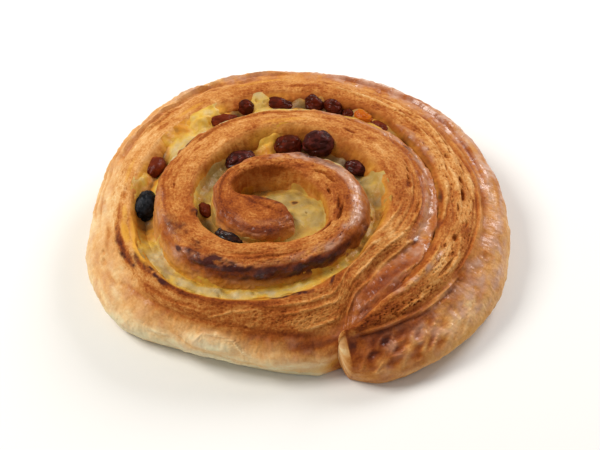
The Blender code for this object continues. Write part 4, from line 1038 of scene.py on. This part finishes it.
RAISIN_SINK = 1.5  # how much deeper they lie in the custard than their middles would
RAISIN_RINGS, RAISIN_SEGMENTS = 44, 64


def raisin_points(size, heading, seed):
    """A shrivelled ball as a grid: a sphere given the raisin's size, with creases where noise that is
    stretched along the raisin passes zero, and softer dents."""
    down = np.linspace(0.02, np.pi - 0.02, RAISIN_RINGS)[:, None]
    round_ = np.linspace(0, 2 * np.pi, RAISIN_SEGMENTS, endpoint=False)[None]
    ball = np.stack(np.broadcast_arrays(
        np.cos(down), np.sin(down) * np.cos(round_), np.sin(down) * np.sin(round_)
    ), -1)
    x, y, z = np.moveaxis(ball, -1, 0)
    shift = 7.3 * seed
    wide = noise(50 + seed, x * 1.1 + shift, y * 2.0, z * 2.0)
    fine = noise(70 + seed, x * 1.9 + shift, y * 4.2, z * 4.2)
    lumpy = noise(90 + seed, x * 1.4 + shift, y * 1.4, z * 1.4)
    radius = 1.03 - 0.09 * np.exp(-(wide / 0.26) ** 2) - 0.035 * np.exp(-(fine / 0.25) ** 2) + 0.15 * lumpy
    shaped = ball * radius[..., None] * np.array(size) / 2
    turned = np.radians(heading)
    rotate = np.array([[np.cos(turned), -np.sin(turned), 0], [np.sin(turned), np.cos(turned), 0], [0, 0, 1]])
    return shaped @ rotate.T


def raisin_material(kind):
    """Raisin skin: its own colour with a lighter copy of it mixed in by cloud noise as painted light, and a thin clear
    coat.
    """
    low, high, roughness, coat = RAISIN_KINDS[kind]
    made, add = new_material("raisin_" + kind)
    cloud, grain = mottled(add, 500.0, 1200.0)
    colour = ramp(add, cloud, [(0.3, low), (0.45, low), (0.75, high)])
    bump = add("ShaderNodeBump", {"Height": grain, "Strength": 0.25, "Distance": 0.0003}).outputs["Normal"]
    shader = add("ShaderNodeBsdfPrincipled", {
        "Base Color": colour, "Roughness": roughness, "Normal": bump, "Specular IOR Level": 0.05,
        "Coat Weight": coat, "Coat Roughness": 0.15,
    })
    add("ShaderNodeOutputMaterial", {"Surface": shader.outputs[0]})
    return made


raisin_skins = {kind: raisin_material(kind) for kind in RAISIN_KINDS}
for seed, (name, length, width, depth, heading, kind) in enumerate(RAISINS):
    low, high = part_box(name)
    centre = np.array((low + high) / 2) / MM - np.array([0, 0, RAISIN_SINK])
    points = raisin_points((length, width, depth), heading, seed) + centre
    flat = np.zeros(points.shape[:2] + (2,))
    raisin = grid_piece(name.replace("raisin", "wrinkled"), points, raisin_skins[kind], flat, {})
    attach(raisin, "root")
    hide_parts(name)

# ---------------------------------------------------------------------------------------------------
# The table, the light and the camera: a plain pale floor, two soft lights from the left and from
# behind on the right, and the camera looking down at the front of the pastry.
# ---------------------------------------------------------------------------------------------------

floor_material, add = new_material("pale_floor")
shader = add("ShaderNodeBsdfPrincipled", {"Base Color": (0.82, 0.82, 0.80, 1), "Roughness": 0.7})
add("ShaderNodeOutputMaterial", {"Surface": shader.outputs[0]})
bpy.ops.mesh.primitive_plane_add(size=4, location=(0, 0, 0))
floor = bpy.context.object
floor.name = "floor"
floor.data.materials.append(floor_material)


def soft_light(name, place, size, power, tint):
    """A square area light that points at the pastry."""
    lamp = bpy.data.lights.new(name, "AREA")
    lamp.size, lamp.energy, lamp.color = size, power, tint
    item = bpy.data.objects.new(name, lamp)
    item.location = place
    item.rotation_euler = (-Vector(place)).to_track_quat("-Z", "Y").to_euler()
    bpy.context.scene.collection.objects.link(item)


soft_light("light_left", (-0.50, 0.05, 0.60), 0.35, 5.0, (1.0, 0.96, 0.90))
soft_light("light_right", (0.45, 0.45, 0.45), 0.35, 4.1, (1.0, 0.97, 0.98))
world = bpy.data.worlds.new("studio")
world.use_nodes = True
world.node_tree.nodes["Background"].inputs["Color"].default_value = (1, 0.98, 0.95, 1)
world.node_tree.nodes["Background"].inputs["Strength"].default_value = 0.38
bpy.context.scene.world = world
bpy.context.scene.view_settings.view_transform = "Standard"

LOOKS_DOWN = np.radians(47.0)
TARGET = np.array([0.2, -2.4, 8.8])  # what the middle of the picture shows
CAMERA_DISTANCE = 474.0
forward = np.array([0, np.cos(LOOKS_DOWN), -np.sin(LOOKS_DOWN)])
camera_data = bpy.data.cameras.new("camera")
camera_data.lens = 100
camera_data.sensor_width = 36
camera = bpy.data.objects.new("camera", camera_data)
camera.location = (TARGET - forward * CAMERA_DISTANCE) * MM
camera.rotation_euler = (np.pi / 2 - LOOKS_DOWN, 0, 0)
bpy.context.scene.collection.objects.link(camera)
bpy.context.scene.camera = camera
